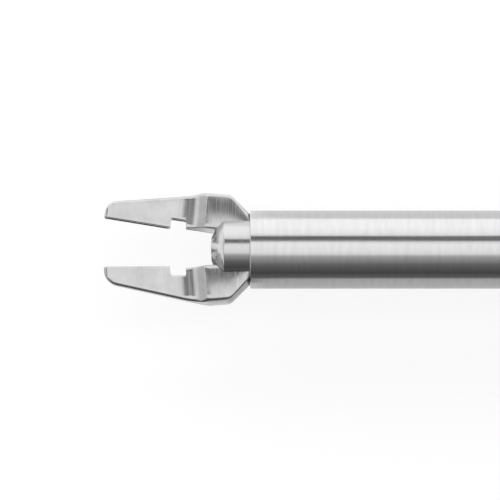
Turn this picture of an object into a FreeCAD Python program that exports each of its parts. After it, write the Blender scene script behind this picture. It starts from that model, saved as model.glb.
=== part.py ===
import FreeCAD, Part
import math
import os
from FreeCAD import Vector

# Ligating clip applier with a ten millimetre shaft, lying on its side with the jaws open.
# Millimetres. The origin is on the shaft axis at the mouth of the outer tube.
# X runs along the shaft to the handle, Z is up, and the grips point to -Y.

# Running and seating clearances
sliding_gap = 0.05
pin_gap = 0.03
jaw_side_gap = 0.05
ramp_gap = 0.07
groove_gap = 0.06
screw_gap = 0.1

# Outer tube
shaft_radius = 5.0
tube_wall = 0.5
shaft_length = 330.0
mouth_round = 0.35
mouth_edge = 0.12
seat_radius = 4.8
seat_lead = 0.6

# Jaws, drawn closed and then swung open
jaw_pivot_x = 18.0
jaw_open_angle = 5.0
jaw_thickness = 3.8
jaw_envelope_radius = 5.23
jaw_tip_x = -18.69
face_gap = 0.05
relief_gap = 0.35
ramp_angle = 40.0
leg_radius = 2.75
ear_radius = 2.6
ear_clearance = 0.35
flat_end_x = -5.9
valley_slope = 32.0
valley_round = 3.0
blade_tip_height = 4.45
blade_tip_width = 2.1
blade_tip_round = 1.9
blade_angle = 18.3
blade_thickness = 1.05
flank_angle = 13.6
shoulder_round = 10.0
shoulder_spare = 0.05
notch_front_x = -10.3
notch_rear_x = -8.3
notch_depth = 1.3
clip_groove_width = 0.5
clip_groove_depth = 0.25
clip_groove_lip = 0.6

# Jaw holder, its pins and the jaw spring
holder_radius = 3.85
nose_front_x = -4.93
nose_edge_x = -3.3
nose_front_radius = 2.2
nose_bulge = 0.12
holder_slot_end = 21.2
holder_land_start = 23.0
holder_land_end = 30.0
holder_rear_x = 38.0
holder_stub_radius = 3.6
land_chamfer = 0.5
holder_socket_start = 25.0
pivot_pin_radius = 1.0
pin_recess = 0.12
holder_pin_radius = 0.75
holder_pin_recess = 0.2
holder_pin_x = 34.0
spring_seat_x = 9.0
spring_seat_radius = 1.15
spring_seat_depth = 1.5
jaw_spring_radius = 0.8
jaw_spring_wire = 0.17
jaw_spring_turns = 5
jaw_spring_slack = 0.15

# Inner rod, its guides and seal
rod_radius = 2.0
rod_guide_length = 8.0
rod_guide_first_x = 110.0
rod_guide_pitch = 95.0
rod_guide_count = 3
guide_channel_radius = 1.1
rod_seal_inset = 15.0
rod_seal_wire = 0.45

# Rotation knob
collar_length = 12.0
collar_radius = 8.5
knob_length = 22.0
knob_radius = 13.5
knob_edge_round = 3.0
flute_count = 10
flute_radius = 3.6
flute_depth = 1.5
journal_radius = 6.2
knob_seal_wire = 0.7
knob_seal_inset = 3.0
cross_pin_radius = 1.25
cross_pin_half = 9.0
cross_pin_inset = 10.0
set_screw_radius = 2.0
set_screw_length = 2.6
slot_end_room = 0.3

# Thrust washer, bush and lock nut of the knob
washer_thickness = 0.95
washer_radius = 9.6
bush_wall = 1.5
nut_thickness = 3.9
nut_radius = 8.0
nut_gap = 0.3
nut_notch = 1.6

# Flush port
port_spigot_radius = 2.0
port_seat_height = 8.0
port_body_radius = 3.3
port_body_height = 4.0
port_neck_radius = 2.9
port_lug_radius = 3.9
port_lug_thickness = 1.4
port_lug_flat = 3.0
luer_radius = 2.1
luer_depth = 7.5
port_channel_radius = 1.0
port_foot_gap = 0.4

# Drive sleeve, yoke groove and return spring
sleeve_radius = 4.0
sleeve_wall = 1.25
spigot_length = 10.0
tube_overrun = 4.0
lock_pin_radius = 0.8
lock_pin_foot_wall = 0.4
lock_pin_recess = 0.02
spring_room = 12.0
return_spring_radius = 5.5
return_spring_wire = 0.4
return_spring_turns = 5
flange_radius = 6.5
flange_thickness = 2.0
sleeve_tail = 0.9

# Lever
yoke_reach = 11.5
pad_radius = 2.0
prong_half = 1.3
prong_gap = 0.15
lever_half_width = 7.0
hub_radius = 4.4
lever_bush_wall = 1.0
lever_screw_radius = 2.0
lever_screw_head = 3.6
lever_edge_round = 2.0
stop_pin_radius = 1.5
stop_pin_gap = 0.08

# Handle shells
shell_half = 10.5
shell_edge_round = 2.0
lever_side_gap = 0.3
cavity_top = 8.5
front_wall = 8.0
cavity_end = 35.0
lever_slot_start = 13.0
housing_top = 15.5
housing_bottom = 22.0
housing_length = 47.0
hidden_depth = 1.9
screw_radius = 1.25
screw_head_radius = 2.3
screw_head_height = 2.3
screw_head_sink = 0.2
screw_places = [(19.0, 11.6), (5.0, -16.0), (41.0, -14.5), (55.5, -58.0), (59.0, -98.0)]
rear_bush_radius = 3.6
rear_bush_length = 8.0
rod_tail_gap = 0.5
cap_spigot_radius = 4.0
cap_radius = 5.2
cap_height = 2.0

# Outlines of the rear grip and of the lever, seen from above, as x, y and the radius of each corner.
# The grip is measured from the front face of the handle and the lever from its pivot.
grip_corners = [(66.0, -48.0, 32.0), (67.0, -106.0, 9.0), (50.0, -108.0, 8.0), (44.0, -62.0, 34.0)]
grip_pocket = [(50.5, -66.0, 3.0), (61.5, -66.0, 3.0), (62.8, -90.0, 3.0), (53.0, -90.0, 3.0)]
lever_front_top = (-3.8, -0.5)
lever_front_low = (-8.8, -12.5)
lever_rear_corners = [(4.2, -2.5, 2.0), (3.2, -12.5, 8.0), (-3.3, -33.5, 32.0), (-5.8, -68.5, 30.0)]
lever_end_corners = [(-9.4, -92.5, 3.5), (-19.5, -95.5, 3.5)]
lever_front_corners = [(-15.2, -68.5, 30.0), (-13.0, -33.5, 34.0)]
lever_pocket = [(-10.6, -37.0, 1.6), (-5.9, -37.0, 1.6), (-9.0, -78.0, 1.6), (-14.0, -78.0, 1.6)]
pocket_depth = 0.8

# Places that follow from the sizes above
tube_bore = shaft_radius - tube_wall
jaw_half = jaw_thickness / 2
slot_half = jaw_half + jaw_side_gap
cavity_half = lever_half_width + lever_side_gap
knob_front = shaft_length + collar_length
knob_rear = knob_front + knob_length
cross_pin_x = knob_front + cross_pin_inset
handle_front = knob_rear + washer_thickness + sliding_gap
journal_end = handle_front + front_wall + sliding_gap + nut_thickness
tube_rear = knob_rear + tube_overrun
sleeve_front = tube_rear - spigot_length
sleeve_bore = sleeve_radius - sleeve_wall
flange_front = journal_end + spring_room
groove_start = flange_front + flange_thickness
groove_width = 2 * (pad_radius + groove_gap)
groove_centre = groove_start + groove_width / 2
sleeve_rear = groove_start + groove_width + flange_thickness + sleeve_tail
knob_bore = seat_radius + sliding_gap
seat_start = shaft_length - seat_lead

# The two jaws meet the mouth of the tube on a cone. Its line, in the closed position, is the line
# that lies a mouth round and a gap away from the centre of the round when the jaw is open.
open_turn = math.radians(jaw_open_angle)
ramp_slope = math.tan(math.radians(ramp_angle))
round_centre = Vector(mouth_round, tube_bore + mouth_round, 0)


def swung(point, angle):
    """A point of the XY plane, turned about the jaw pivot."""
    dx = point.x - jaw_pivot_x
    return Vector(
        jaw_pivot_x + dx * math.cos(angle) - point.y * math.sin(angle),
        dx * math.sin(angle) + point.y * math.cos(angle),
        0,
    )


def ramp_line():
    """A point and the unit direction of the ramp, closed position."""
    direction = Vector(-1, ramp_slope, 0).normalize()
    outward = Vector(direction.y, -direction.x, 0)
    centre = swung(round_centre, open_turn)
    return centre - outward * (mouth_round + ramp_gap), direction, outward


def ramp_x(radius):
    """Where the ramp of the closed jaws has this radius."""
    point, direction, _ = ramp_line()
    return point.x + direction.x * (radius - point.y) / direction.y


def mouth_advance(angle):
    """How far the tube can slide before it touches a jaw that is open by this angle."""
    point, direction, outward = ramp_line()
    point = swung(point, -angle)
    cosine, sine = math.cos(angle), math.sin(angle)
    outward = Vector(outward.x * cosine + outward.y * sine, outward.y * cosine - outward.x * sine, 0)
    rise = outward.y * (round_centre.y - point.y)
    return mouth_round - (point.x + (mouth_round - rise) / outward.x)


# The travel that keeps this much room in front of the mouth all the way, with jaws that close evenly
travel_gap = 0.05
travel_steps = [step / 10 for step in range(1, 11)]
tube_travel = min((mouth_advance(open_turn * (1 - step)) - travel_gap) / step for step in travel_steps)

# The yoke swings evenly to both sides of upright
yoke_half_swing = math.asin(tube_travel / 2 / yoke_reach)
lever_x = groove_centre - yoke_reach * math.sin(yoke_half_swing)
lever_y = -yoke_reach * math.cos(yoke_half_swing)


def write(name, shape):
    """One sub-part, one file."""
    shape.exportStep(f"parts/{name}.step")


def along_x(radius, x_start, x_end, y=0):
    """A round bar along the shaft."""
    return Part.makeCylinder(radius, x_end - x_start, Vector(x_start, y, 0), Vector(1, 0, 0))


def along_y(radius, y_start, y_end, x):
    """A round bar across the shaft, in the plane of the jaws."""
    return Part.makeCylinder(radius, y_end - y_start, Vector(x, y_start, 0), Vector(0, 1, 0))


def along_z(radius, z_start, z_end, x, y=0):
    """A round bar square to the plane of the jaws."""
    return Part.makeCylinder(radius, z_end - z_start, Vector(x, y, z_start), Vector(0, 0, 1))


def turned(profile):
    """A solid of revolution about the shaft axis from corners given as length and radius."""
    corners = [Vector(x, radius, 0) for x, radius in profile]
    face = Part.Face(Part.makePolygon(corners + corners[:1]))
    return face.revolve(Vector(0, 0, 0), Vector(1, 0, 0), 360)


def rounded_face(corners):
    """A flat face in XY with straight sides. Each corner is x, y and the radius of its round."""
    edges = []
    starts, ends = [], []
    count = len(corners)
    for i, (x, y, radius) in enumerate(corners):
        here = Vector(x, y, 0)
        before = Vector(*corners[i - 1][:2], 0)
        after = Vector(*corners[(i + 1) % count][:2], 0)
        back = (before - here).normalize()
        onward = (after - here).normalize()
        if radius == 0:
            starts.append(here)
            ends.append(here)
            edges.append(None)
            continue
        half = back.getAngle(onward) / 2
        reach = radius / math.tan(half)
        middle = (back + onward).normalize() * (radius / math.sin(half) - radius)
        starts.append(here + back * reach)
        ends.append(here + onward * reach)
        edges.append(Part.Arc(starts[-1], here + middle, ends[-1]).toShape())
    outline = []
    for i in range(count):
        if edges[i]:
            outline.append(edges[i])
        following = starts[(i + 1) % count]
        if ends[i].distanceToPoint(following) > 1e-6:
            outline.append(Part.LineSegment(ends[i], following).toShape())
    return Part.Face(Part.Wire(outline))


def plate(corners, z_low, z_high):
    """A flat piece cut from plate, seen from above."""
    face = rounded_face(corners)
    face.translate(Vector(0, 0, z_low))
    return face.extrude(Vector(0, 0, z_high - z_low))


def side_plate(corners, y_low, y_high):
    """A flat piece seen from the side: each corner is x, z and the radius of its round."""
    face = rounded_face(corners)
    face.rotate(Vector(0, 0, 0), Vector(1, 0, 0), 90)
    face.translate(Vector(0, y_high, 0))
    return face.extrude(Vector(0, y_low - y_high, 0))


def mirrored(shape, normal):
    """The same piece on the other side of a plane through the shaft axis."""
    return shape.mirror(Vector(0, 0, 0), normal)


def coil_spring(radius, wire, length, turns):
    """A spring that stands on the origin, along Z. Its wire has eight flats in place of a round."""
    rise = length - 2 * wire
    path = Part.makeHelix(rise / turns, rise, radius)
    corners = []
    for i in range(9):
        turn = math.radians(45 * i)
        corners.append(Vector(radius + wire * math.cos(turn), 0, wire * math.sin(turn)))
    coil = Part.Wire(path.Edges).makePipeShell([Part.makePolygon(corners)], True, True)
    coil.translate(Vector(0, 0, wire))
    return coil


def ring_seal(inner, wire, x):
    """A rubber ring on the shaft, with eight flats in place of a round."""
    corners = []
    for i in range(8):
        turn = math.radians(45 * i + 22.5)
        corners.append((x + wire * math.cos(turn), inner + wire + wire * math.sin(turn)))
    return turned(corners)


def blade_top(x):
    """Height of the blade's upper face, which rises towards the tip."""
    return blade_tip_height - (x - jaw_tip_x) * math.tan(math.radians(blade_angle))


def blade_under(x):
    """Height of the blade's lower face."""
    return blade_top(x) - blade_thickness / math.cos(math.radians(blade_angle))


def jaw_side_outline():
    """The jaw from the side: a thick rear plate, a valley and a thin blade that rises to the tip."""
    blade_slope = math.tan(math.radians(blade_angle))
    slope = math.tan(math.radians(valley_slope))
    fall = jaw_half - blade_top(flat_end_x)
    valley_x = flat_end_x - fall / (slope + blade_slope)
    belly_x = jaw_tip_x + (blade_under(jaw_tip_x) + jaw_half) / blade_slope
    rear_x = jaw_pivot_x + ear_radius
    return [
        (rear_x, -jaw_half, 0),
        (rear_x, jaw_half, 0),
        (flat_end_x, jaw_half, 0.4),
        (valley_x, blade_top(valley_x), valley_round),
        (jaw_tip_x, blade_tip_height, 0.3),
        (jaw_tip_x, blade_under(jaw_tip_x), 0.3),
        (belly_x, -jaw_half, 3),
    ]


def jaw_plan_outline():
    """The closed jaw from above: leg, ramp body and tapered blade. The envelope trims its flank."""
    widest = jaw_envelope_radius + shoulder_spare
    shoulder_x = jaw_tip_x + (widest - blade_tip_width) / math.tan(math.radians(flank_angle))
    return [
        (jaw_pivot_x, relief_gap, 0),
        (notch_rear_x, relief_gap, 0),
        (notch_rear_x, notch_depth, 0.25),
        (notch_front_x, notch_depth, 0.25),
        (notch_front_x, face_gap, 0),
        (jaw_tip_x, face_gap, 0.2),
        (jaw_tip_x, blade_tip_width, blade_tip_round),
        (shoulder_x, widest, shoulder_round),
        (jaw_pivot_x, widest, 0),
    ]


def jaw_envelope():
    """What the closed pair turns in: the round legs, the ramp and the flank that passes a cannula."""
    rear_x = jaw_pivot_x + ear_radius + 1
    return turned([
        (rear_x, 0),
        (rear_x, leg_radius),
        (ramp_x(leg_radius), leg_radius),
        (ramp_x(jaw_envelope_radius), jaw_envelope_radius),
        (jaw_tip_x - 1, jaw_envelope_radius),
        (jaw_tip_x - 1, 0),
    ])


def clip_groove():
    """The channel along the gripping face that holds a leg of the clip."""
    middle = jaw_tip_x + clip_groove_lip
    height = (blade_top(middle) + blade_under(middle)) / 2
    length = notch_front_x - middle + 1
    groove = Part.makeBox(length, clip_groove_depth + 1, clip_groove_width)
    groove.translate(Vector(0, -1, -clip_groove_width / 2))
    groove.rotate(Vector(0, 0, 0), Vector(0, 1, 0), blade_angle)
    groove.translate(Vector(middle, face_gap, height))
    return groove


def jaw(side):
    """One jaw of the pair. The upper one has side 1, the lower one side -1."""
    body = plate(jaw_plan_outline(), -jaw_half - 1, blade_tip_height + 1)
    body = body.common(side_plate(jaw_side_outline(), 0, jaw_envelope_radius + 2))
    body = body.common(jaw_envelope())
    body = body.cut(clip_groove())
    lap_low, lap_high = (jaw_side_gap, jaw_half) if side > 0 else (-jaw_half, -jaw_side_gap)
    other_low, other_high = (-jaw_half - 1, jaw_side_gap) if side > 0 else (-jaw_side_gap, jaw_half + 1)
    body = body.cut(along_z(ear_radius + ear_clearance, other_low, other_high, jaw_pivot_x))
    body = body.fuse(along_z(ear_radius, lap_low, lap_high, jaw_pivot_x))
    body = body.cut(along_z(pivot_pin_radius + pin_gap, -jaw_half - 1, jaw_half + 1, jaw_pivot_x))
    body = body.cut(along_y(spring_seat_radius, 0, relief_gap + spring_seat_depth, spring_seat_x))
    if side < 0:
        body = mirrored(body, Vector(0, 1, 0))
    body.rotate(Vector(jaw_pivot_x, 0, 0), Vector(0, 0, 1), -side * jaw_open_angle)
    return body.removeSplitter()


def jaw_holder():
    """The clevis that carries both jaws, with a slot for them and a socket for the rod."""
    nose_mid_x = (nose_front_x + nose_edge_x) / 2
    nose_mid_radius = (nose_front_radius + holder_radius) / 2 + nose_bulge
    holder = turned([
        (nose_front_x, 0),
        (nose_front_x, nose_front_radius),
        (nose_mid_x, nose_mid_radius),
        (nose_edge_x, holder_radius),
        (holder_land_start, holder_radius),
        (holder_land_start + land_chamfer, tube_bore - sliding_gap),
        (holder_land_end - land_chamfer, tube_bore - sliding_gap),
        (holder_land_end, holder_stub_radius),
        (holder_rear_x, holder_stub_radius),
        (holder_rear_x, 0),
    ])
    wide = holder_radius + 1
    holder = holder.cut(side_plate([
        (nose_front_x - 1, -slot_half, 0),
        (holder_slot_end, -slot_half, 0.8),
        (holder_slot_end, slot_half, 0.8),
        (nose_front_x - 1, slot_half, 0),
    ], -wide, wide))
    holder = holder.cut(along_x(rod_radius, holder_socket_start, holder_rear_x + 1))
    holder = holder.cut(along_z(pivot_pin_radius, -wide, wide, jaw_pivot_x))
    return holder.cut(along_z(holder_pin_radius, -wide, wide, holder_pin_x))


def jaw_pivot_pin():
    """The pin through both cheeks and both ears."""
    half = math.sqrt(holder_radius**2 - pivot_pin_radius**2) - pin_recess
    return along_z(pivot_pin_radius, -half, half, jaw_pivot_x)


def jaw_spring():
    """The small spring in the legs that opens the jaws."""
    lift = (jaw_pivot_x - spring_seat_x) * math.sin(open_turn)
    seat = (relief_gap + spring_seat_depth) * math.cos(open_turn) + lift
    length = 2 * (seat - jaw_spring_slack)
    spring = coil_spring(jaw_spring_radius, jaw_spring_wire, length, jaw_spring_turns)
    spring.rotate(Vector(0, 0, 0), Vector(1, 0, 0), -90)
    shift = jaw_pivot_x - (jaw_pivot_x - spring_seat_x) * math.cos(open_turn) + seat * math.sin(open_turn) / 2
    spring.translate(Vector(shift, -length / 2, 0))
    return spring


def inner_rod():
    """The rod that carries the jaw holder, from the holder to the rear bush."""
    rod = along_x(rod_radius, holder_socket_start + sliding_gap, rod_end)
    rod = rod.cut(seal_groove(rod_seal_x, rod_seal_wire, rod_seal_inner(), rod_radius + 1))
    rod = rod.cut(along_z(cross_pin_radius, -rod_radius - 1, rod_radius + 1, cross_pin_x))
    return rod.cut(along_z(holder_pin_radius, -rod_radius - 1, rod_radius + 1, holder_pin_x))


def seal_groove(x, wire, inner, outer):
    """The square groove that holds a ring seal."""
    half = wire + sliding_gap
    return along_x(outer, x - half, x + half).cut(along_x(inner, x - half, x + half))


def rod_seal_inner():
    """The groove of the rod seal is as deep as the ring needs to clear the sleeve."""
    return sleeve_bore - sliding_gap - 2 * rod_seal_wire


def rod_guides():
    """Plastic guides that keep the rod in the middle of the tube, channelled for rinsing."""
    guides = []
    outer = tube_bore - sliding_gap
    for i in range(rod_guide_count):
        start = rod_guide_first_x + i * rod_guide_pitch
        end = start + rod_guide_length
        guide = along_x(outer, start, end).cut(along_x(rod_radius, start - 1, end + 1))
        for turn in range(3):
            channel = along_x(guide_channel_radius, start - 1, end + 1, outer)
            channel.rotate(Vector(0, 0, 0), Vector(1, 0, 0), 120 * turn + 30)
            guide = guide.cut(channel)
        guides.append(guide)
    return Part.makeCompound(guides)


def outer_tube():
    """The closing tube. Its mouth is rounded inside, and its rear is ground down to slide in the knob."""
    tube = turned([
        (0, tube_bore),
        (0, shaft_radius - mouth_edge),
        (mouth_edge, shaft_radius),
        (seat_start, shaft_radius),
        (seat_start, seat_radius),
        (tube_rear, seat_radius),
        (tube_rear, tube_bore),
    ])
    mouth = [e for e in tube.Edges if is_circle(e, tube_bore) and abs(e.CenterOfMass.x) < 0.01]
    tube = tube.makeFillet(mouth_round, mouth)
    wide = shaft_radius + 1
    slot_start = cross_pin_x - cross_pin_radius - slot_end_room
    slot_end = cross_pin_x + cross_pin_radius + tube_travel + slot_end_room
    half = cross_pin_radius + sliding_gap
    slot = plate([
        (slot_start, -half, half * 0.99),
        (slot_end, -half, half * 0.99),
        (slot_end, half, half * 0.99),
        (slot_start, half, half * 0.99),
    ], -wide, wide)
    tube = tube.cut(slot)
    port_x = shaft_length + collar_length / 2
    port_slot = along_y(port_channel_radius, tube_bore - 1, wide, port_x)
    port_slot = port_slot.fuse(along_y(port_channel_radius, tube_bore - 1, wide, port_x + tube_travel))
    tube = tube.cut(port_slot)
    return tube.cut(along_z(lock_pin_radius, -wide, wide, lock_pin_x))


def is_circle(edge, radius):
    """Is this edge a full circle of this radius?"""
    return isinstance(edge.Curve, Part.Circle) and abs(edge.Curve.Radius - radius) < 0.001


def rotation_knob():
    """Knob with a smooth collar, a fluted grip and a hollow journal that turns in the handle."""
    cut = knob_edge_round
    grip_front = knob_front + 1.5
    knob = turned([
        (shaft_length, knob_bore),
        (shaft_length, collar_radius - 2),
        (shaft_length + 0.6, collar_radius - 0.8),
        (shaft_length + 1.8, collar_radius),
        (knob_front, collar_radius),
        (grip_front, knob_radius - 3.2),
        (grip_front + 1.2, knob_radius - 1.1),
        (grip_front + cut, knob_radius),
        (knob_rear - cut, knob_radius),
        (knob_rear - 1.2, knob_radius - 0.8),
        (knob_rear, knob_radius - 2.4),
        (knob_rear, journal_radius),
        (journal_end, journal_radius),
        (journal_end, knob_bore),
    ])
    for i in range(flute_count):
        flute = along_x(flute_radius, knob_front, knob_rear + 1, knob_radius + flute_radius - flute_depth)
        flute.rotate(Vector(0, 0, 0), Vector(1, 0, 0), (i + 0.5) * 360 / flute_count)
        flute = flute.cut(along_x(knob_radius + 10, journal_end, journal_end + 9))
        knob = knob.cut(flute)
    port_x = shaft_length + collar_length / 2
    knob = knob.cut(along_y(port_body_radius + screw_gap, port_seat_height, collar_radius + 1, port_x))
    knob = knob.cut(along_y(port_spigot_radius, 0, port_seat_height + 1, port_x))
    reach = knob_radius + 1
    knob = knob.cut(along_z(cross_pin_radius, -reach, reach, cross_pin_x))
    for low, high in ((cross_pin_half, reach), (-reach, -cross_pin_half)):
        knob = knob.cut(along_z(set_screw_radius, low, high, cross_pin_x))
    return knob.cut(seal_groove(knob_seal_x, knob_seal_wire, seat_radius, knob_bore + 2 * knob_seal_wire))


knob_seal_x = shaft_length + knob_seal_inset
rod_seal_x = sleeve_front + rod_seal_inset
lock_pin_x = (sleeve_front + tube_rear) / 2
rod_end = handle_front + cavity_end + rear_bush_length - rod_tail_gap


def rod_cross_pin():
    """The pin that ties knob and rod together through the slots of the tube."""
    return along_z(cross_pin_radius, -cross_pin_half, cross_pin_half, cross_pin_x)


def knob_set_screws():
    """One headless screw over each end of the cross pin."""
    screws = []
    for side in (1, -1):
        low, high = sorted((side * cross_pin_half, side * (cross_pin_half + set_screw_length)))
        screws.append(along_z(set_screw_radius, low, high, cross_pin_x))
    return Part.makeCompound(screws)


def knob_lock_nut():
    """The notched nut that holds the knob in the handle."""
    start = journal_end - nut_thickness
    nut = along_x(nut_radius, start, journal_end).cut(along_x(journal_radius, start - 1, journal_end + 1))
    for i in range(4):
        notch = Part.makeBox(nut_thickness + 2, nut_notch, nut_notch)
        notch.translate(Vector(start - 1, -nut_notch / 2, nut_radius - nut_notch / 2))
        notch.rotate(Vector(0, 0, 0), Vector(1, 0, 0), 90 * i + 45)
        nut = nut.cut(notch)
    return nut


def flush_port():
    """The rinsing port with a female Luer socket and lock lugs."""
    port_x = shaft_length + collar_length / 2
    shoulder = port_seat_height + port_body_height
    top = shoulder + luer_depth
    lug_start = top - port_lug_thickness
    port = along_y(port_spigot_radius, knob_bore + port_foot_gap, port_seat_height + 1, port_x)
    port = port.fuse(along_y(port_body_radius, port_seat_height, shoulder, port_x))
    port = port.fuse(along_y(port_neck_radius, shoulder - 1, lug_start + 0.5, port_x))
    lug = along_y(port_lug_radius, lug_start, top, port_x)
    width = 2 * port_lug_flat
    lug = lug.common(Part.makeBox(width, 100, 100, Vector(port_x - port_lug_flat, 0, -50)))
    port = port.fuse(lug)
    port = port.cut(along_y(luer_radius, top - luer_depth, top + 1, port_x))
    return port.cut(along_y(port_channel_radius, 0, top, port_x))


def drive_sleeve():
    """The sleeve behind the tube, with the grooved spool that the yoke of the lever moves."""
    rear_flange = groove_start + groove_width
    sleeve = turned([
        (sleeve_front, sleeve_bore),
        (sleeve_front, tube_bore),
        (tube_rear, tube_bore),
        (tube_rear, sleeve_radius),
        (flange_front, sleeve_radius),
        (flange_front, flange_radius),
        (groove_start, flange_radius),
        (groove_start, sleeve_radius),
        (rear_flange, sleeve_radius),
        (rear_flange, flange_radius),
        (rear_flange + flange_thickness, flange_radius),
        (rear_flange + flange_thickness, sleeve_radius),
        (sleeve_rear, sleeve_radius),
        (sleeve_rear, sleeve_bore),
    ])
    for low, high in ((lock_pin_foot(), seat_radius), (-seat_radius, -lock_pin_foot())):
        sleeve = sleeve.cut(along_z(lock_pin_radius, low, high, lock_pin_x))
    return sleeve


def lock_pin_foot():
    """How deep the lock pins reach towards the rod."""
    return sleeve_bore + lock_pin_foot_wall


def tube_lock_pins():
    """Two short pins that fasten the tube to the sleeve."""
    top = math.sqrt(seat_radius**2 - lock_pin_radius**2) - lock_pin_recess
    pins = []
    for low, high in ((lock_pin_foot(), top), (-top, -lock_pin_foot())):
        pins.append(along_z(lock_pin_radius, low, high, lock_pin_x))
    return Part.makeCompound(pins)


def return_spring():
    """The spring that pushes the tube back when the lever is let go."""
    spring = coil_spring(return_spring_radius, return_spring_wire, spring_room, return_spring_turns)
    spring.rotate(Vector(0, 0, 0), Vector(0, 1, 0), 90)
    spring.translate(Vector(journal_end, 0, 0))
    return spring


def thrust_washer():
    """The flat ring between knob and handle."""
    start = handle_front - washer_thickness
    inner = journal_radius + screw_gap
    return along_x(washer_radius, start, handle_front).cut(along_x(inner, start - 1, handle_front + 1))


def front_bush():
    """The bronze bearing of the knob's journal."""
    end = handle_front + front_wall
    ring = along_x(bush_radius, handle_front, end)
    return ring.cut(along_x(journal_radius + sliding_gap, handle_front - 1, end + 1))


bush_radius = journal_radius + sliding_gap + bush_wall


def handle_outline():
    """Housing and rear grip from above, measured from the front face of the handle."""
    corners = [
        (0, housing_top, 3),
        (housing_length, housing_top, 9),
        (housing_length, -housing_bottom / 2 - 1, 14),
        *grip_corners,
        (cavity_end, -housing_bottom, 7),
        (0, -housing_bottom, 6),
    ]
    return [(handle_front + x, y, radius) for x, y, radius in corners]


def handle_shell(side):
    """One half of the handle. The right half lies on top and takes the screw heads."""
    shell = plate(handle_outline(), 0, shell_half)
    rim = [e for e in shell.Edges if abs(e.BoundBox.ZMin - shell_half) < 0.001]
    shell = shell.makeFillet(shell_edge_round, rim)
    axis_start = handle_front - 1
    axis_end = handle_front + housing_length + 1
    cavity_front = handle_front + front_wall
    cavity_rear = handle_front + cavity_end
    slot_front = handle_front + lever_slot_start
    cavity = Part.makeBox(cavity_rear - cavity_front, cavity_top + 9, cavity_half, Vector(cavity_front, -9, 0))
    depth = housing_bottom + 2
    slot = Part.makeBox(cavity_rear - slot_front, depth, cavity_half, Vector(slot_front, -depth, 0))
    shell = shell.cut(cavity).cut(slot)
    shell = shell.cut(along_x(bush_radius, axis_start, cavity_front + 1))
    shell = shell.cut(along_x(nut_radius + nut_gap, cavity_front, journal_end + 1))
    shell = shell.cut(along_x(rear_bush_radius, cavity_rear - 1, cavity_rear + rear_bush_length))
    shell = shell.cut(along_x(cap_spigot_radius, cavity_rear + rear_bush_length, axis_end))
    shell = shell.cut(along_z(stop_pin_radius, -1, stop_pin_end, stop_pin_x(), stop_pin_y()))
    pocket = [(handle_front + x, y, radius) for x, y, radius in grip_pocket]
    shell = shell.cut(plate(pocket, shell_half - pocket_depth, shell_half + 1))
    if side < 0:
        shell = mirrored(shell, Vector(0, 0, 1))
        for x, y in screw_spots():
            shell = shell.cut(along_z(screw_radius, -stop_pin_end, 1, x, y))
        return shell.cut(along_z(lever_screw_radius, -stop_pin_end, 1, lever_x, lever_y))
    for x, y in screw_spots():
        shell = shell.cut(along_z(screw_radius + screw_gap, -1, shell_half + 1, x, y))
        shell = shell.cut(along_z(screw_head_radius + screw_gap, head_seat, shell_half + 1, x, y))
    shell = shell.cut(along_z(lever_screw_radius, -1, shell_half + 1, lever_x, lever_y))
    return shell.cut(along_z(lever_screw_head + screw_gap, head_seat, shell_half + 1, lever_x, lever_y))


stop_pin_end = shell_half - hidden_depth
head_seat = shell_half - screw_head_sink - screw_head_height


def screw_spots():
    """Centres of the handle screws."""
    return [(handle_front + x, y) for x, y in screw_places]


def headed_screw(shank, head, x, y):
    """A cylinder-head screw, its head sunk in the right shell."""
    return along_z(shank, -stop_pin_end, head_seat, x, y).fuse(
        along_z(head, head_seat, head_seat + screw_head_height, x, y)
    )


def handle_screws():
    """The screws that hold the shells together."""
    return Part.makeCompound([headed_screw(screw_radius, screw_head_radius, x, y) for x, y in screw_spots()])


def lever_pivot_screw():
    """The screw that the lever turns on."""
    return headed_screw(lever_screw_radius, lever_screw_head, lever_x, lever_y)


def rear_bush():
    """The bronze bearing of the rod's end."""
    start = handle_front + cavity_end
    end = start + rear_bush_length
    return along_x(rear_bush_radius, start, end).cut(along_x(rod_radius + pin_gap, start - 1, end + 1))


def end_cap():
    """The domed plug that closes the rear of the housing."""
    start = handle_front + cavity_end + rear_bush_length
    face = handle_front + housing_length
    return turned([
        (start, 0),
        (start, cap_spigot_radius),
        (face, cap_spigot_radius),
        (face, cap_radius),
        (face + cap_height * 0.45, cap_radius),
        (face + cap_height * 0.85, cap_radius - 1.1),
        (face + cap_height, cap_radius - 2.8),
        (face + cap_height, 0),
    ])


def lever_outline():
    """The finger lever from above, measured from its pivot."""
    corners = [(*lever_front_top, 1), *lever_rear_corners, *lever_end_corners, *lever_front_corners]
    corners.append((*lever_front_low, 8))
    return [(lever_x + x, lever_y + y, radius) for x, y, radius in corners]


def stop_pin_offset():
    """The stop pin lies square to the front of the lever, a gap away."""
    top = Vector(*lever_front_top, 0)
    low = Vector(*lever_front_low, 0)
    run = (low - top).normalize()
    square = Vector(run.y, -run.x, 0)
    return (top + low) * 0.5 + square * (stop_pin_radius + stop_pin_gap)


def stop_pin_x():
    return lever_x + stop_pin_offset().x


def stop_pin_y():
    return lever_y + stop_pin_offset().y


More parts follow.
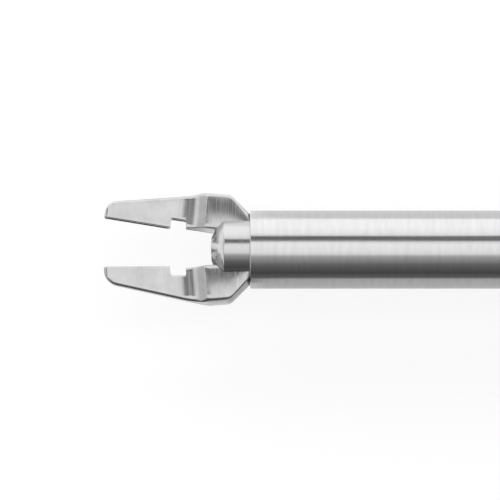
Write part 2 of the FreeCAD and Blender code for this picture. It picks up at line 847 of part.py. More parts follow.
def lever():
    """The finger lever with its hub and the two-pronged yoke that rides in the spool."""
    arm = plate(lever_outline(), -lever_half_width, lever_half_width)
    rim = []
    for edge in arm.Edges:
        box = edge.BoundBox
        flat = abs(abs(box.ZMin) - lever_half_width) < 0.001 and box.ZLength < 0.001
        if flat and box.YMin < lever_y - housing_bottom / 2:
            rim.append(edge)
    arm = arm.makeFillet(lever_edge_round, rim)
    arm = arm.fuse(along_z(hub_radius, -lever_half_width, lever_half_width, lever_x, lever_y))
    inner = sleeve_radius + prong_gap
    for side in (1, -1):
        low, high = sorted((side * inner, side * lever_half_width))
        pad = along_z(pad_radius, low, high, groove_centre, 0)
        prong = Part.makeBox(2 * prong_half, yoke_reach, high - low, Vector(-prong_half, 0, low))
        prong.rotate(Vector(0, 0, 0), Vector(0, 0, 1), -math.degrees(yoke_half_swing))
        prong.translate(Vector(lever_x, lever_y, 0))
        arm = arm.fuse(pad).fuse(prong)
        floor = side * (lever_half_width - pocket_depth)
        low, high = sorted((floor, floor + side * 2 * pocket_depth))
        arm = arm.cut(plate([(lever_x + x, lever_y + y, radius) for x, y, radius in lever_pocket], low, high))
    reach = lever_half_width + 1
    bore = along_z(lever_screw_radius + pin_gap + lever_bush_wall, -reach, reach, lever_x, lever_y)
    return arm.cut(bore).removeSplitter()


def lever_bush():
    """The bronze bush pressed into the lever."""
    inner = lever_screw_radius + pin_gap
    ring = along_z(inner + lever_bush_wall, -lever_half_width, lever_half_width, lever_x, lever_y)
    return ring.cut(along_z(inner, -lever_half_width - 1, lever_half_width + 1, lever_x, lever_y))


def lever_stop_pin():
    """The pin that stops the opened lever."""
    return along_z(stop_pin_radius, -stop_pin_end, stop_pin_end, stop_pin_x(), stop_pin_y())


os.makedirs("parts", exist_ok=True)
write("upper_jaw", jaw(1))
write("lower_jaw", jaw(-1))
write("handle_shell_right", handle_shell(1))
write("handle_shell_left", handle_shell(-1))
for piece in (
    jaw_holder,
    jaw_pivot_pin,
    jaw_spring,
    inner_rod,
    rod_guides,
    outer_tube,
    rotation_knob,
    rod_cross_pin,
    knob_set_screws,
    knob_lock_nut,
    flush_port,
    drive_sleeve,
    tube_lock_pins,
    return_spring,
    thrust_washer,
    front_bush,
    handle_screws,
    lever_pivot_screw,
    rear_bush,
    end_cap,
    lever,
    lever_bush,
    lever_stop_pin,
):
    write(piece.__name__, piece())
write("rod_seal", ring_seal(rod_seal_inner(), rod_seal_wire, rod_seal_x))
write("knob_seal", ring_seal(knob_bore, knob_seal_wire, knob_seal_x))
holder_pin_half = holder_stub_radius - holder_pin_recess
write("holder_pin", along_z(holder_pin_radius, -holder_pin_half, holder_pin_half, holder_pin_x))
print(f"tube travel {tube_travel:.6f} mm, lever swing {math.degrees(2 * yoke_half_swing):.5f} degrees")
print(f"lever pivot at {lever_x:.4f}, {lever_y:.4f}")
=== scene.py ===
import bmesh
import bpy
import math
from mathutils import Matrix, Vector


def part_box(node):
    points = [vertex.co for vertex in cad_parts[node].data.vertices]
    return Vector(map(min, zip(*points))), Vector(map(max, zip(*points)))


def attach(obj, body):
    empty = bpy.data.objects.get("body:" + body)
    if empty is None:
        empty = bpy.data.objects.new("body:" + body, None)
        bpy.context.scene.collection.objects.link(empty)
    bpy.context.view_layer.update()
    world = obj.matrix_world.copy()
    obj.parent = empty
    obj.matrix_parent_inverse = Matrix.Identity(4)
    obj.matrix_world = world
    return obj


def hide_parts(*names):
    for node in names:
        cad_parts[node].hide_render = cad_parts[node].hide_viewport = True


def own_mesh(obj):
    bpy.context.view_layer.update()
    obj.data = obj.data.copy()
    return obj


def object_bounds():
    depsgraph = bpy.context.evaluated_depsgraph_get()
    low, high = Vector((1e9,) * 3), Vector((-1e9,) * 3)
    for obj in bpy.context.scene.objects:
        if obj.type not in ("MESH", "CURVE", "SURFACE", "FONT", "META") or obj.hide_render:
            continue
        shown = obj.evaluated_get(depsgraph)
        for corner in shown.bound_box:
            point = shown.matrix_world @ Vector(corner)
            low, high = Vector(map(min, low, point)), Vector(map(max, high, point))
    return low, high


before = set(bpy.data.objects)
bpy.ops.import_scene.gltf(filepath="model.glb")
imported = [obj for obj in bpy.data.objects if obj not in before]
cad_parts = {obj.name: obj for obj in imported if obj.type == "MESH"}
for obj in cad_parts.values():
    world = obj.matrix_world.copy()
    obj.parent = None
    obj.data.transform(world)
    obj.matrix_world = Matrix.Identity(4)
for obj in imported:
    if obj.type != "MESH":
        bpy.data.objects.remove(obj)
cad_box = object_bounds()

# Ligating clip applier, lying on its side with the jaws open. The lengths below are millimetres in the
# frame of the part: the shaft lies along X with its mouth at the origin, and Z is up.
MM = 0.001

# Room between pieces that slide in each other, round a pin in its hole and round a screw
SLIDING_GAP = 0.05
PIN_GAP = 0.03
SCREW_GAP = 0.1

# Closing tube. Its travel brings both jaws from open to closed
SHAFT_RADIUS = 5.0
SHAFT_LENGTH = 330.0
TRAVEL = 2.187
TUBE_BORE = 4.5
SEAT_RADIUS = 4.8
SEAT_START = SHAFT_LENGTH - 0.6
TUBE_END = SHAFT_LENGTH + 38.0
MOUTH_ROUND = 0.35
MOUTH_EDGE = 0.16

# Jaw holder, with the land that fits the tube and the socket for the rod
HOLDER_RADIUS = 3.85
NOSE_X = -4.93
NOSE_EDGE_X = -3.3
NOSE_RADIUS = 2.2
NOSE_SWELL = 0.12
LAND = (23.5, 29.5)
LAND_CHAMFER = 0.5
HOLDER_NECK_RADIUS = 3.6
HOLDER_END = 38.0
ROD_SOCKET_START = 25.0
ROD_RADIUS = 2.0
PIN_RADIUS = 1.0
HOLDER_PIN_X = 34.0
HOLDER_PIN_RADIUS = 0.75

# Jaws, drawn closed and then swung open about the pivot
PIVOT_X = 18.0
JAW_SPRING_X = 9.0
OPEN_ANGLE = math.radians(5.0)
JAW_HALF = 1.9
JAW_ENVELOPE = 5.23
JAW_RELIEF = 0.35
FACE_GAP = 0.05
EAR_RADIUS = 2.6
EAR_CLEARANCE = 0.35
LEG_RADIUS = 2.75
SLOT_HALF = JAW_HALF + SLIDING_GAP
SLOT_END = PIVOT_X + 3.2
SPRING_POCKET_RADIUS = 1.15
SPRING_POCKET_DEPTH = 1.5
RAMP_ANGLE = math.radians(40.0)
RAMP_TOP_X = -2.967
FLAT_END_X = -5.9
VALLEY_SLOPE = math.tan(math.radians(32.0))
VALLEY_ROUND = 3.0
TIP_X = -18.69
TIP_HEIGHT = 4.45
BLADE_ANGLE = math.radians(18.3)
BLADE_DEPTH = 1.05 / math.cos(BLADE_ANGLE)
TIP_WIDTH = 2.1
TIP_ROUND = 1.9
FLANK_SLOPE = math.tan(math.radians(13.6))
# Front, rear and depth of the notch; start behind the tip, half width and depth of the clip groove
NOTCH = (-10.3, -8.3, 1.3)
CLIP_GROOVE = (0.6, 0.25, 0.25)
# Run along X of a wall that stands square to the shaft
WALL_RUN = 0.01
# Sections stand this close together from the tip to just inside the mouth
SECTION_PITCH = 0.7
SECTIONS_END_X = 2.0
OUTER_EDGE = 0.34
INNER_EDGE = 0.24
CROWN = 0.14

# Rotation knob. Its seal groove starts and ends this far behind the front of the collar
COLLAR_X = SHAFT_LENGTH
KNOB_X = COLLAR_X + 12.0
KNOB_END = KNOB_X + 22.0
COLLAR_RADIUS = 8.5
KNOB_RADIUS = 13.5
KNOB_BORE = SEAT_RADIUS + SLIDING_GAP
JOURNAL_RADIUS = 6.2
SEAL_GROOVE = (2.25, 3.75)
SEAL_GROOVE_DEPTH = 1.4
FLUTES = 10
FLUTE_RADIUS = 3.6
FLUTE_DEPTH = 1.5
FLUTE_BLEND = 0.35
CROSS_PIN_X = KNOB_X + 10.0
CROSS_PIN_RADIUS = 1.25
CROSS_PIN_HALF = 9.0
SLOT_ROOM = 1.55
SET_SCREW_RADIUS = 2.0
SET_SCREW_LENGTH = 2.6
SET_SCREW_FLATS = 2.0

# Flush port, whose heights are from the axis of the shaft
PORT_X = COLLAR_X + 6.0
PORT_FOOT = 5.25
PORT_SEAT = 8.0
PORT_TOP = 19.5
PORT_HOLE_RADIUS = 1.0
PORT_SPIGOT_RADIUS = 2.0
PORT_BODY_RADIUS = 3.3
PORT_NECK_RADIUS = 2.9
LUG_RADIUS = 3.9
LUG_FLAT = 3.0
LUG_START = 17.9
LUER_RADIUS = 2.1
LUER_DEPTH = 7.5

# Handle
HANDLE_X = KNOB_END + 1.0
HANDLE_DEPTH = 47.0
WASHER_RADIUS = 9.6
SHELL_HALF = 10.5
SHELL_ROUND = 2.0
PARTING_BREAK = 0.25
BUSH_SEAT_RADIUS = 7.75
SPRING_ROOM_RADIUS = 8.3
REAR_BORE_RADIUS = 3.6
CAP_STEM_RADIUS = 4.0
CAP_RADIUS = 5.2
JOURNAL_END = HANDLE_X + 11.95
LOCK_PIN_X = TUBE_END - 5.0
LOCK_PIN_RADIUS = 0.8
STOP_PIN_RADIUS = 1.5

# Screws that hold the shells, placed behind the handle's front, and the one that carries the lever. Each
# kind has a shank radius, a head radius and a socket across flats
HEAD_SEAT = 8.0
SCREW_END = 8.6
SCREW_PLACES = [(19.0, 11.6), (5.0, -16.0), (41.0, -14.5), (55.5, -58.0), (59.0, -98.0)]
SHELL_SCREW = (1.25, 2.3, 2.5)
PIVOT_SCREW = (2.0, 3.6, 3.0)

# Lever, its yoke and the spool that the yoke moves
LEVER_HALF = 7.0
LEVER_ROUND = 1.8
LEVER_SIDE_GAP = 0.3
CAVITY_HALF = LEVER_HALF + LEVER_SIDE_GAP
LEVER_BORE = 3.03
HUB_RADIUS = 4.4
SPOOL_X = 393.01
PRONG_LENGTH = 11.5
PRONG_HALF = 1.3
PRONG_INNER = 4.15
PAD_RADIUS = 2.0
# Faces of joined shapes are held this far apart, so that none lie in one plane
STEP_BACK = 0.02

# Grip pockets with their ribs. Corners are behind the handle's front, and across and up from the pivot
POCKET_DEPTH = 0.8
GRIP_POCKET = [(50.5, -66.0), (61.5, -66.0), (62.8, -90.0), (53.0, -90.0)]
GRIP_POCKET_ROUND = 3.0
LEVER_POCKET = [(-10.6, -37.0), (-5.9, -37.0), (-9.0, -78.0), (-14.0, -78.0)]
LEVER_POCKET_ROUND = 1.6
RIB_PITCH = 2.4
RIB_RADIUS = 0.5
RIB_END_GAP = 0.35

# Springs: radius of the coil, radius of the wire and turns
JAW_SPRING = (0.8, 0.17, 5)
RETURN_SPRING = (5.5, 0.4, 5)
RETURN_SPRING_LENGTH = 12.0

# Half length of the cutters that go right through a piece
CUT = 9.0
# Points nearer than these are one point: in a new shape, and after a boolean
SAME_POINT = 0.0005
SAME_AFTER_CARVING = 0.002


def linear(code):
    """An sRGB hex colour as linear red, green, blue and alpha."""
    channels = [int(code[i:i + 2], 16) / 255 for i in (0, 2, 4)]
    return [c / 12.92 if c <= 0.04045 else ((c + 0.055) / 1.055) ** 2.4 for c in channels] + [1.0]


def add_node(tree, kind, settings=None, links=None):
    """A node with its settings and links. A name that the node has is set on it, others are inputs."""
    node = tree.nodes.new(kind)
    for key, value in (settings or {}).items():
        if isinstance(key, str) and hasattr(node, key):
            setattr(node, key, value)
        else:
            node.inputs[key].default_value = value
    for key, source in (links or {}).items():
        tree.links.new(source, node.inputs[key])
    return node


def principled(name, colour, metallic, roughness, **settings):
    """A new material with its shader, whose uniform values are set on the shader itself."""
    material = bpy.data.materials.new(name)
    material.use_nodes = True
    tree = material.node_tree
    shader = tree.nodes["Principled BSDF"]
    shader.inputs["Base Color"].default_value = linear(colour)
    shader.inputs["Metallic"].default_value = metallic
    shader.inputs["Roughness"].default_value = roughness
    for key, value in settings.items():
        shader.inputs[key].default_value = value
    return material, tree, shader


def grain(tree, spacing, detail=3.0, roughness=0.6):
    """Noise on the piece's own coordinates. Spacing is its grain along X, Y and Z in millimetres."""
    place = add_node(tree, "ShaderNodeTexCoord")
    scale = [1 / (length * MM) for length in spacing]
    stretched = add_node(tree, "ShaderNodeMapping", {"Scale": scale}, {"Vector": place.outputs["Object"]})
    return add_node(
        tree,
        "ShaderNodeTexNoise",
        {"Scale": 1.0, "Detail": detail, "Roughness": roughness},
        {"Vector": stretched.outputs["Vector"]},
    ).outputs["Fac"]


def surface(tree, shader, roughness, colour=None, raised=None):
    """Links patterns to a shader.

    Roughness is a pattern with two values, colour a pattern with two hex colours, and raised a pattern
    with its height in millimetres.
    """
    # Noise seldom leaves this part of its range
    ends = (0.3, 0.7)
    pattern, low, high = roughness
    spread = add_node(
        tree,
        "ShaderNodeMapRange",
        {"From Min": ends[0], "From Max": ends[1], "To Min": low, "To Max": high},
        {"Value": pattern},
    )
    tree.links.new(spread.outputs["Result"], shader.inputs["Roughness"])
    if colour:
        pattern, *codes = colour
        ramp = add_node(tree, "ShaderNodeValToRGB", None, {"Fac": pattern})
        for stop, place, code in zip(ramp.color_ramp.elements, ends, codes):
            stop.position = place
            stop.color = linear(code)
        tree.links.new(ramp.outputs["Color"], shader.inputs["Base Color"])
    if raised:
        pattern, height = raised
        bump = add_node(
            tree, "ShaderNodeBump", {"Distance": height * MM, "Strength": 1.0}, {"Height": pattern}
        )
        tree.links.new(bump.outputs["Normal"], shader.inputs["Normal"])


def polished_tube_steel():
    """Stainless tube, drawn, then polished while turning: a near mirror with soft rings and faint lines."""
    material, tree, shader = principled("polished_stainless_tube", "CECECE", 1.0, 0.16)
    rings = grain(tree, (0.12, 9.0, 9.0))
    mottle = grain(tree, (0.6, 4.0, 4.0))
    draw_lines = grain(tree, (30.0, 0.3, 0.3))
    surface(tree, shader, (draw_lines, 0.12, 0.22), (mottle, "CCCCCC", "D3D3D3"), (rings, 0.0006))
    return material


def ground_jaw_steel():
    """Hardened stainless. Lines ground across the blades blur what they mirror, the rear is polished."""
    material, tree, shader = principled("ground_stainless_jaw", "C6C6C6", 1.0, 0.22)
    lines = grain(tree, (0.1, 7.0, 4.0), detail=4.0, roughness=0.7)
    haze = grain(tree, (2.5, 2.5, 2.5), detail=2.0)
    place = add_node(tree, "ShaderNodeTexCoord")
    parts = add_node(tree, "ShaderNodeSeparateXYZ", None, {"Vector": place.outputs["Object"]})
    on_blade = add_node(
        tree,
        "ShaderNodeMapRange",
        {"From Min": FLAT_END_X * MM, "From Max": NOTCH[0] * MM, "To Min": 0.3, "To Max": 1.1},
        {"Value": parts.outputs["X"]},
    )
    cut = add_node(tree, "ShaderNodeMath", {"operation": "MULTIPLY"}, {
        0: lines,
        1: on_blade.outputs["Result"],
    })
    surface(tree, shader, (lines, 0.15, 0.3), (haze, "BEBEBE", "CCCCCC"), (cut.outputs[0], 0.0017))
    return material


def turned_steel():
    """Stainless bar, turned and lightly polished: rings from the tool, brighter than the jaws."""
    material, tree, shader = principled("turned_stainless", "C9C9C9", 1.0, 0.18)
    rings = grain(tree, (0.1, 6.0, 6.0))
    surface(tree, shader, (rings, 0.14, 0.25), raised=(rings, 0.0008))
    return material


def satin_handle_steel():
    """Cast stainless, bead blasted and brushed along the grip: an even satin with faint long lines."""
    material, tree, shader = principled("satin_stainless_handle", "B8B8B8", 1.0, 0.38)
    beads = grain(tree, (0.16, 0.16, 0.16), detail=2.0)
    lines = grain(tree, (0.25, 6.0, 0.25))
    handling = grain(tree, (22.0, 22.0, 22.0), detail=4.0)
    surface(tree, shader, (lines, 0.33, 0.44), (handling, "B0B0B0", "BEBEBE"), (beads, 0.004))
    return material


def spring_steel():
    """Drawn stainless spring wire: bright, with a slight straw tint from stress relieving."""
    material, tree, shader = principled("drawn_spring_wire", "BDB6A6", 1.0, 0.24)
    die_marks = grain(tree, (0.3, 0.3, 0.3), detail=4.0)
    surface(tree, shader, (die_marks, 0.2, 0.3), (die_marks, "B3AB99", "C6C1B4"))
    return material


def bush_bronze():
    """Sintered bearing bronze: warm and dull, with fine open pores."""
    material, tree, shader = principled("sintered_bronze", "A5793F", 1.0, 0.42)
    pores = grain(tree, (0.12, 0.12, 0.12), detail=4.0, roughness=0.7)
    surface(tree, shader, (pores, 0.5, 0.36), (pores, "8A6230", "B3874C"), (pores, 0.006))
    return material


def knob_black():
    """PEEK, moulded in a blasted tool: matt with a soft wide sheen on its edges."""
    material, tree, shader = principled("moulded_black_peek", "1C1C1E", 0.0, 0.46, IOR=1.62)
    blast = grain(tree, (0.14, 0.14, 0.14), detail=2.0)
    handling = grain(tree, (9.0, 9.0, 9.0), detail=3.0)
    surface(tree, shader, (handling, 0.4, 0.52), (handling, "18181A", "222224"), (blast, 0.008))
    return material


def guide_plastic():
    """Natural acetal, turned: waxy off-white that lets a little light in."""
    material, tree, shader = principled("natural_acetal", "E9E7DF", 0.0, 0.35, IOR=1.48)
    shader.inputs["Subsurface Weight"].default_value = 0.15
    shader.inputs["Subsurface Radius"].default_value = (0.0008, 0.0007, 0.0006)
    tool_marks = grain(tree, (0.2, 5.0, 5.0))
    surface(tree, shader, (tool_marks, 0.3, 0.42), raised=(tool_marks, 0.002))
    return material


def seal_rubber():
    """Moulded EPDM: near black, dull, with a faint bloom."""
    material, tree, shader = principled("moulded_epdm", "232222", 0.0, 0.6, IOR=1.5)
    bloom = grain(tree, (0.5, 0.5, 0.5), detail=4.0)
    surface(tree, shader, (bloom, 0.55, 0.7), (bloom, "1E1D1D", "2E2C2B"))
    return material


MATERIALS = {
    "tube_steel": polished_tube_steel(),
    "jaw_steel": ground_jaw_steel(),
    "turned_steel": turned_steel(),
    "handle_steel": satin_handle_steel(),
    "spring_steel": spring_steel(),
    "bush_bronze": bush_bronze(),
    "knob_black": knob_black(),
    "guide_plastic": guide_plastic(),
    "seal_rubber": seal_rubber(),
}


def rounded(corners, closed=True, turn=8):
    """Corners given as two places and a radius become a fine line, with an arc at each round."""
    line = []
    count = len(corners)
    for i, (across, up, *radius) in enumerate(corners):
        here = Vector((across, up))
        if not radius or radius[0] == 0 or (not closed and i in (0, count - 1)):
            line.append(here)
            continue
        back = (Vector(corners[i - 1][:2]) - here).normalized()
        onward = (Vector(corners[(i + 1) % count][:2]) - here).normalized()
        half = back.angle(onward) / 2
        centre = here + (back + onward).normalized() * (radius[0] / math.sin(half))
        arm = here + back * (radius[0] / math.tan(half)) - centre
        sweep = math.copysign(math.pi - 2 * half, onward.x * back.y - onward.y * back.x)
        steps = max(2, round(abs(math.degrees(sweep)) / turn))
        for k in range(steps + 1):
            line.append(centre + Matrix.Rotation(sweep * k / steps, 2) @ arm)
    return line


def height_on(line, x):
    """The height of a line at a place along it. The line runs from high X to low X."""
    for start, end in zip(line, line[1:]):
        if end.x <= x <= start.x and start.x > end.x:
            return end.y + (start.y - end.y) * (x - end.x) / (start.x - end.x)
    return line[-1].y if x < line[-1].x else line[0].y


def join_rings(bm, ring, following):
    """Faces between two rings of points, either of which may be a single point."""
    count = max(len(ring), len(following))
    if count == 1:
        return
    for k in range(count):
        corners = [ring[k % len(ring)], ring[(k + 1) % len(ring)]]
        corners += [following[(k + 1) % len(following)], following[k % len(following)]]
        corners = list(dict.fromkeys(corners))
        if len(corners) > 2:
            bm.faces.new(corners)


def stacked(rings):
    """A closed body through rings of points, flat at both ends."""
    bm = bmesh.new()
    made = [[bm.verts.new(point) for point in ring] for ring in rings]
    for ring, following in zip(made, made[1:]):
        join_rings(bm, ring, following)
    bm.faces.new(made[0])
    bm.faces.new(made[-1])
    return bm


def turned(line, steps=96, shape=None):
    """A body turned about X from a closed line of places and radii. Shape may change a radius by angle."""
    bm = bmesh.new()
    rings = []
    for along, radius in line:
        if radius < SAME_POINT:
            rings.append([bm.verts.new((along, 0, 0))])
            continue
        ring = []
        for k in range(steps):
            angle = 2 * math.pi * k / steps
            reach = shape(along, radius, angle) if shape else radius
            ring.append(bm.verts.new((along, reach * math.cos(angle), reach * math.sin(angle))))
        rings.append(ring)
    for i, ring in enumerate(rings):
        join_rings(bm, rings[i - 1], ring)
    return bm


def bar(radius, start, end, axis="X", centre=(0, 0, 0), steps=48):
    """A round bar along an axis, used to cut bores and to build up bosses."""
    bm = turned([(start, 0), (start, radius), (end, radius), (end, 0)], steps)
    if axis == "Y":
        bm.transform(Matrix.Rotation(math.pi / 2, 4, "Z"))
    if axis == "Z":
        bm.transform(Matrix.Rotation(-math.pi / 2, 4, "Y"))
    bm.transform(Matrix.Translation(centre))
    return bm


def block(low, high):
    """A box between two corners."""
    bm = bmesh.new()
    bmesh.ops.create_cube(bm, size=1.0)
    size = [b - a for a, b in zip(low, high)]
    middle = [(a + b) / 2 for a, b in zip(low, high)]
    bm.transform(Matrix.Translation(middle) @ Matrix.Diagonal((*size, 1)))
    return bm


def inset(line, depth):
    """A closed line moved inwards by a depth. It runs anticlockwise or clockwise."""
    area = sum(a.x * b.y - b.x * a.y for a, b in zip(line, line[1:] + line[:1]))
    moved = []
    for i, here in enumerate(line):
        run = line[(i + 1) % len(line)] - line[i - 1]
        inwards = Vector((-run.y, run.x)).normalized() * math.copysign(1, area)
        moved.append(here + inwards * depth)
    return moved


def plate(line, low, high, low_break, high_break):
    """A plate with rounded rims: each break is the radius of the round at that face."""
    rings = []
    for face, radius, side in ((low, low_break, 1), (high, high_break, -1)):
        steps = 6 if radius else 0
        rim = []
        for k in range(steps + 1):
            turn = math.pi / 2 * k / max(steps, 1)
            points = inset(line, radius * (1 - math.sin(turn)))
            level = face + side * radius * (1 - math.cos(turn))
            rim.append([(p.x, p.y, level) for p in points])
        rings += rim if side > 0 else rim[::-1]
    return stacked(rings)


def clean(bm, apart):
    """Joins points nearer than this and drops the faces that have no area."""
    bmesh.ops.remove_doubles(bm, verts=bm.verts, dist=apart)
    bmesh.ops.dissolve_degenerate(bm, edges=bm.edges, dist=apart)


def linked(name, data):
    """A new object in the scene."""
    made = bpy.data.objects.new(name, data)
    bpy.context.scene.collection.objects.link(made)
    return made


def body_of(name, bm):
    """An object of the mesh, with its faces outwards."""
    clean(bm, SAME_POINT)
    bmesh.ops.recalc_face_normals(bm, faces=bm.faces)
    mesh = bpy.data.meshes.new(name)
    bm.to_mesh(mesh)
    bm.free()
    return linked(name, mesh)


def mirror(mesh, axis):
    """Turns a mesh into its mirror image, with its faces still outwards."""
    mesh.transform(Matrix.Scale(-1, 4, axis))
    mesh.flip_normals()


def middle_of(node):
    """The middle of a node's box in millimetres."""
    low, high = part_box(node)
    return Vector([(a + b) / 2 / MM for a, b in zip(low, high)])


def applied(piece):
    """The piece's mesh with its modifiers worked in."""
    depsgraph = bpy.context.evaluated_depsgraph_get()
    mesh = bpy.data.meshes.new_from_object(piece.evaluated_get(depsgraph))
    piece.modifiers.clear()
    piece.data = mesh


def carve(piece, *shapes, way="DIFFERENCE"):
    """Cuts closed shapes out of a piece, or joins them on."""
    for shape in shapes:
        tool = body_of("cutter", shape)
        change = piece.modifiers.new("carve", "BOOLEAN")
        change.object = tool
        change.operation = way
        change.solver = "EXACT"
        applied(piece)
        bpy.data.objects.remove(tool)
        result = bmesh.new()
        result.from_mesh(piece.data)
        clean(result, SAME_AFTER_CARVING)
        result.to_mesh(piece.data)
        result.free()


def settle(piece, body, slot, *nodes, crease=28):
    """Brings a finished piece to metres, shades it and hangs it on its body in place of its node."""
    piece.data.transform(Matrix.Scale(MM, 4))
    piece.data.materials.clear()
    piece.data.materials.append(MATERIALS[slot])
    piece.data.shade_smooth()
    piece.data.set_sharp_from_angle(angle=math.radians(crease))
    weighted = piece.modifiers.new("even_shading", "WEIGHTED_NORMAL")
    weighted.keep_sharp = True
    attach(piece, body)
    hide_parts(*nodes)


def jaw_lines():
    """The outlines of a closed jaw: above, below, inside, outside and envelope.

    Each runs from high X to low X. A corner is a place, a height or reach, and the radius of its round.
    """
    blade = math.tan(BLADE_ANGLE)
    flat_fall = JAW_HALF - (TIP_HEIGHT - (FLAT_END_X - TIP_X) * blade)
    valley_x = FLAT_END_X - flat_fall / (VALLEY_SLOPE + blade)
    valley_z = TIP_HEIGHT - (valley_x - TIP_X) * blade
    tip_under = TIP_HEIGHT - BLADE_DEPTH
    belly_x = TIP_X + (tip_under + JAW_HALF) / blade
    notch_front, notch_rear, notch_depth = NOTCH
    above = rounded([
        (PIVOT_X, JAW_HALF),
        (FLAT_END_X, JAW_HALF, 0.35),
        (valley_x, valley_z, VALLEY_ROUND),
        (TIP_X, TIP_HEIGHT, 0.3),
        (TIP_X, TIP_HEIGHT - 0.6),
    ], closed=False)[:-1]
    below = rounded([
        (PIVOT_X, -JAW_HALF),
        (belly_x, -JAW_HALF, 3.0),
        (TIP_X, tip_under, 0.3),
        (TIP_X, tip_under + 0.6),
    ], closed=False)[:-1]
    inside = rounded([
        (PIVOT_X, JAW_RELIEF),
        (notch_rear, JAW_RELIEF, 0.08),
        (notch_rear - WALL_RUN, notch_depth, 0.25),
        (notch_front + WALL_RUN, notch_depth, 0.25),
        (notch_front, FACE_GAP, 0.08),
        (TIP_X, FACE_GAP, 0.2),
        (TIP_X, FACE_GAP + 0.5),
    ], closed=False)[:-1]
    shoulder_x = TIP_X + (JAW_ENVELOPE + FACE_GAP - TIP_WIDTH) / FLANK_SLOPE
    outside = rounded([
        (PIVOT_X, JAW_ENVELOPE + FACE_GAP),
        (shoulder_x, JAW_ENVELOPE + FACE_GAP, 10.0),
        (TIP_X, TIP_WIDTH, TIP_ROUND),
        (TIP_X, 0.0),
    ], closed=False)[:-1]
    ramp_end_x = RAMP_TOP_X + (JAW_ENVELOPE - LEG_RADIUS) / math.tan(RAMP_ANGLE)
    envelope = rounded([
        (PIVOT_X, LEG_RADIUS),
        (ramp_end_x, LEG_RADIUS, 0.5),
        (RAMP_TOP_X, JAW_ENVELOPE, 1.2),
        (TIP_X, JAW_ENVELOPE),
    ], closed=False)
    return above, below, inside, outside, envelope


def jaw_section(x, lines):
    """A ring of points round the closed jaw at one place along it."""
    top, bottom, inner, widest, reach = [height_on(line, x) for line in lines]
    lip, groove_half, groove_depth = CLIP_GROOVE
    middle = (top + bottom) / 2
    in_groove = TIP_X + lip < x < NOTCH[0] + WALL_RUN / 2
    depth = groove_depth if in_groove else 0.0
    groove_half = min(groove_half, (top - bottom) / 4)

    def outer(z):
        """Reach of the outer side at a height, kept inside the round envelope."""
        return min(widest, math.sqrt(reach ** 2 - z ** 2))

    fine = min(INNER_EDGE, (top - bottom) / 9, (widest - inner) / 4)
    full = min(OUTER_EDGE, (top - bottom) / 3, (widest - inner) / 3)
    crown = CROWN * min(1.0, max(0.0, (x - FLAT_END_X) / 0.6))
    ring = []

    def near(y):
        """Height of the near face, polished so that it falls off a little to both sides."""
        return top - crown * (2 * (y - inner) / (outer(top) - inner) - 1) ** 2

    def bevel(before, corner, after):
        """A stoned edge: nearly flat, and eased into the faces beside it."""
        ring.append(before)
        for share, pull in ((0.2, 0.2), (0.35, 0.27), (0.65, 0.27), (0.8, 0.2)):
            ring.append(before.lerp(after, share).lerp(corner, pull))
        ring.append(after)

    bevel(
        Vector((inner, near(inner) - fine)),
        Vector((inner, near(inner))),
        Vector((inner + fine, near(inner + fine))),
    )
    rim = outer(top) - full
    across = 10
    for k in range(1, across):
        y = inner + fine + (rim - inner - fine) * k / across
        ring.append(Vector((y, near(y))))
    bevel(Vector((rim, near(rim))), Vector((outer(top), top)), Vector((outer(top - full), top - full)))
    flank = 14
    for k in range(1, flank):
        z = top - full + (bottom - top + fine + full) * k / flank
        ring.append(Vector((outer(z), z)))
    bevel(
        Vector((outer(bottom + fine), bottom + fine)),
        Vector((outer(bottom), bottom)),
        Vector((outer(bottom) - fine, bottom)),
    )
    bevel(Vector((inner + fine, bottom)), Vector((inner, bottom)), Vector((inner, bottom + fine)))
    for z, sunk in ((-1, 0), (-1, 1), (1, 1), (1, 0)):
        ring.append(Vector((inner + sunk * depth, middle + z * groove_half)))
    return [(x, point.x, point.y) for point in ring]


def jaw(side):
    """One jaw, from its blade to the ear on the pivot pin. The ears lap, the upper jaw's above the other."""
    lines = jaw_lines()
    groove_start = TIP_X + CLIP_GROOVE[0]
    sections = int((SECTIONS_END_X - TIP_X) / SECTION_PITCH)
    places = {round(point.x, 4) for line in lines for point in line}
    places |= {round(groove_start + shift, 4) for shift in (-WALL_RUN, WALL_RUN)}
    places |= {round(TIP_X + SECTION_PITCH * step, 4) for step in range(1, sections + 1)}
    bm = stacked([jaw_section(x, lines) for x in sorted(places)])
    piece = body_of("upper_jaw_ground" if side > 0 else "lower_jaw_ground", bm)
    centre = (PIVOT_X, 0, 0)
    beyond = JAW_HALF + 1
    lap = sorted((side * FACE_GAP, side * JAW_HALF))
    other = sorted((side * FACE_GAP, -side * beyond))
    carve(piece, bar(EAR_RADIUS + EAR_CLEARANCE, *other, "Z", centre))
    carve(piece, bar(EAR_RADIUS, *lap, "Z", centre), way="UNION")
    carve(piece, bar(PIN_RADIUS + PIN_GAP, -beyond, beyond, "Z", centre))
    carve(piece, bar(SPRING_POCKET_RADIUS, 0, JAW_RELIEF + SPRING_POCKET_DEPTH, "Y", (JAW_SPRING_X, 0, 0)))
    if side < 0:
        mirror(piece.data, (0, 1, 0))
    swing = Matrix.Rotation(-side * OPEN_ANGLE, 4, "Z")
    piece.data.transform(Matrix.Translation(centre) @ swing @ Matrix.Translation([-c for c in centre]))
    return piece


def make_jaws():
    """Both jaws, ground from the same forging."""
    settle(jaw(1), "upper_jaw", "jaw_steel", "upper_jaw")
    settle(jaw(-1), "lower_jaw", "jaw_steel", "lower_jaw")


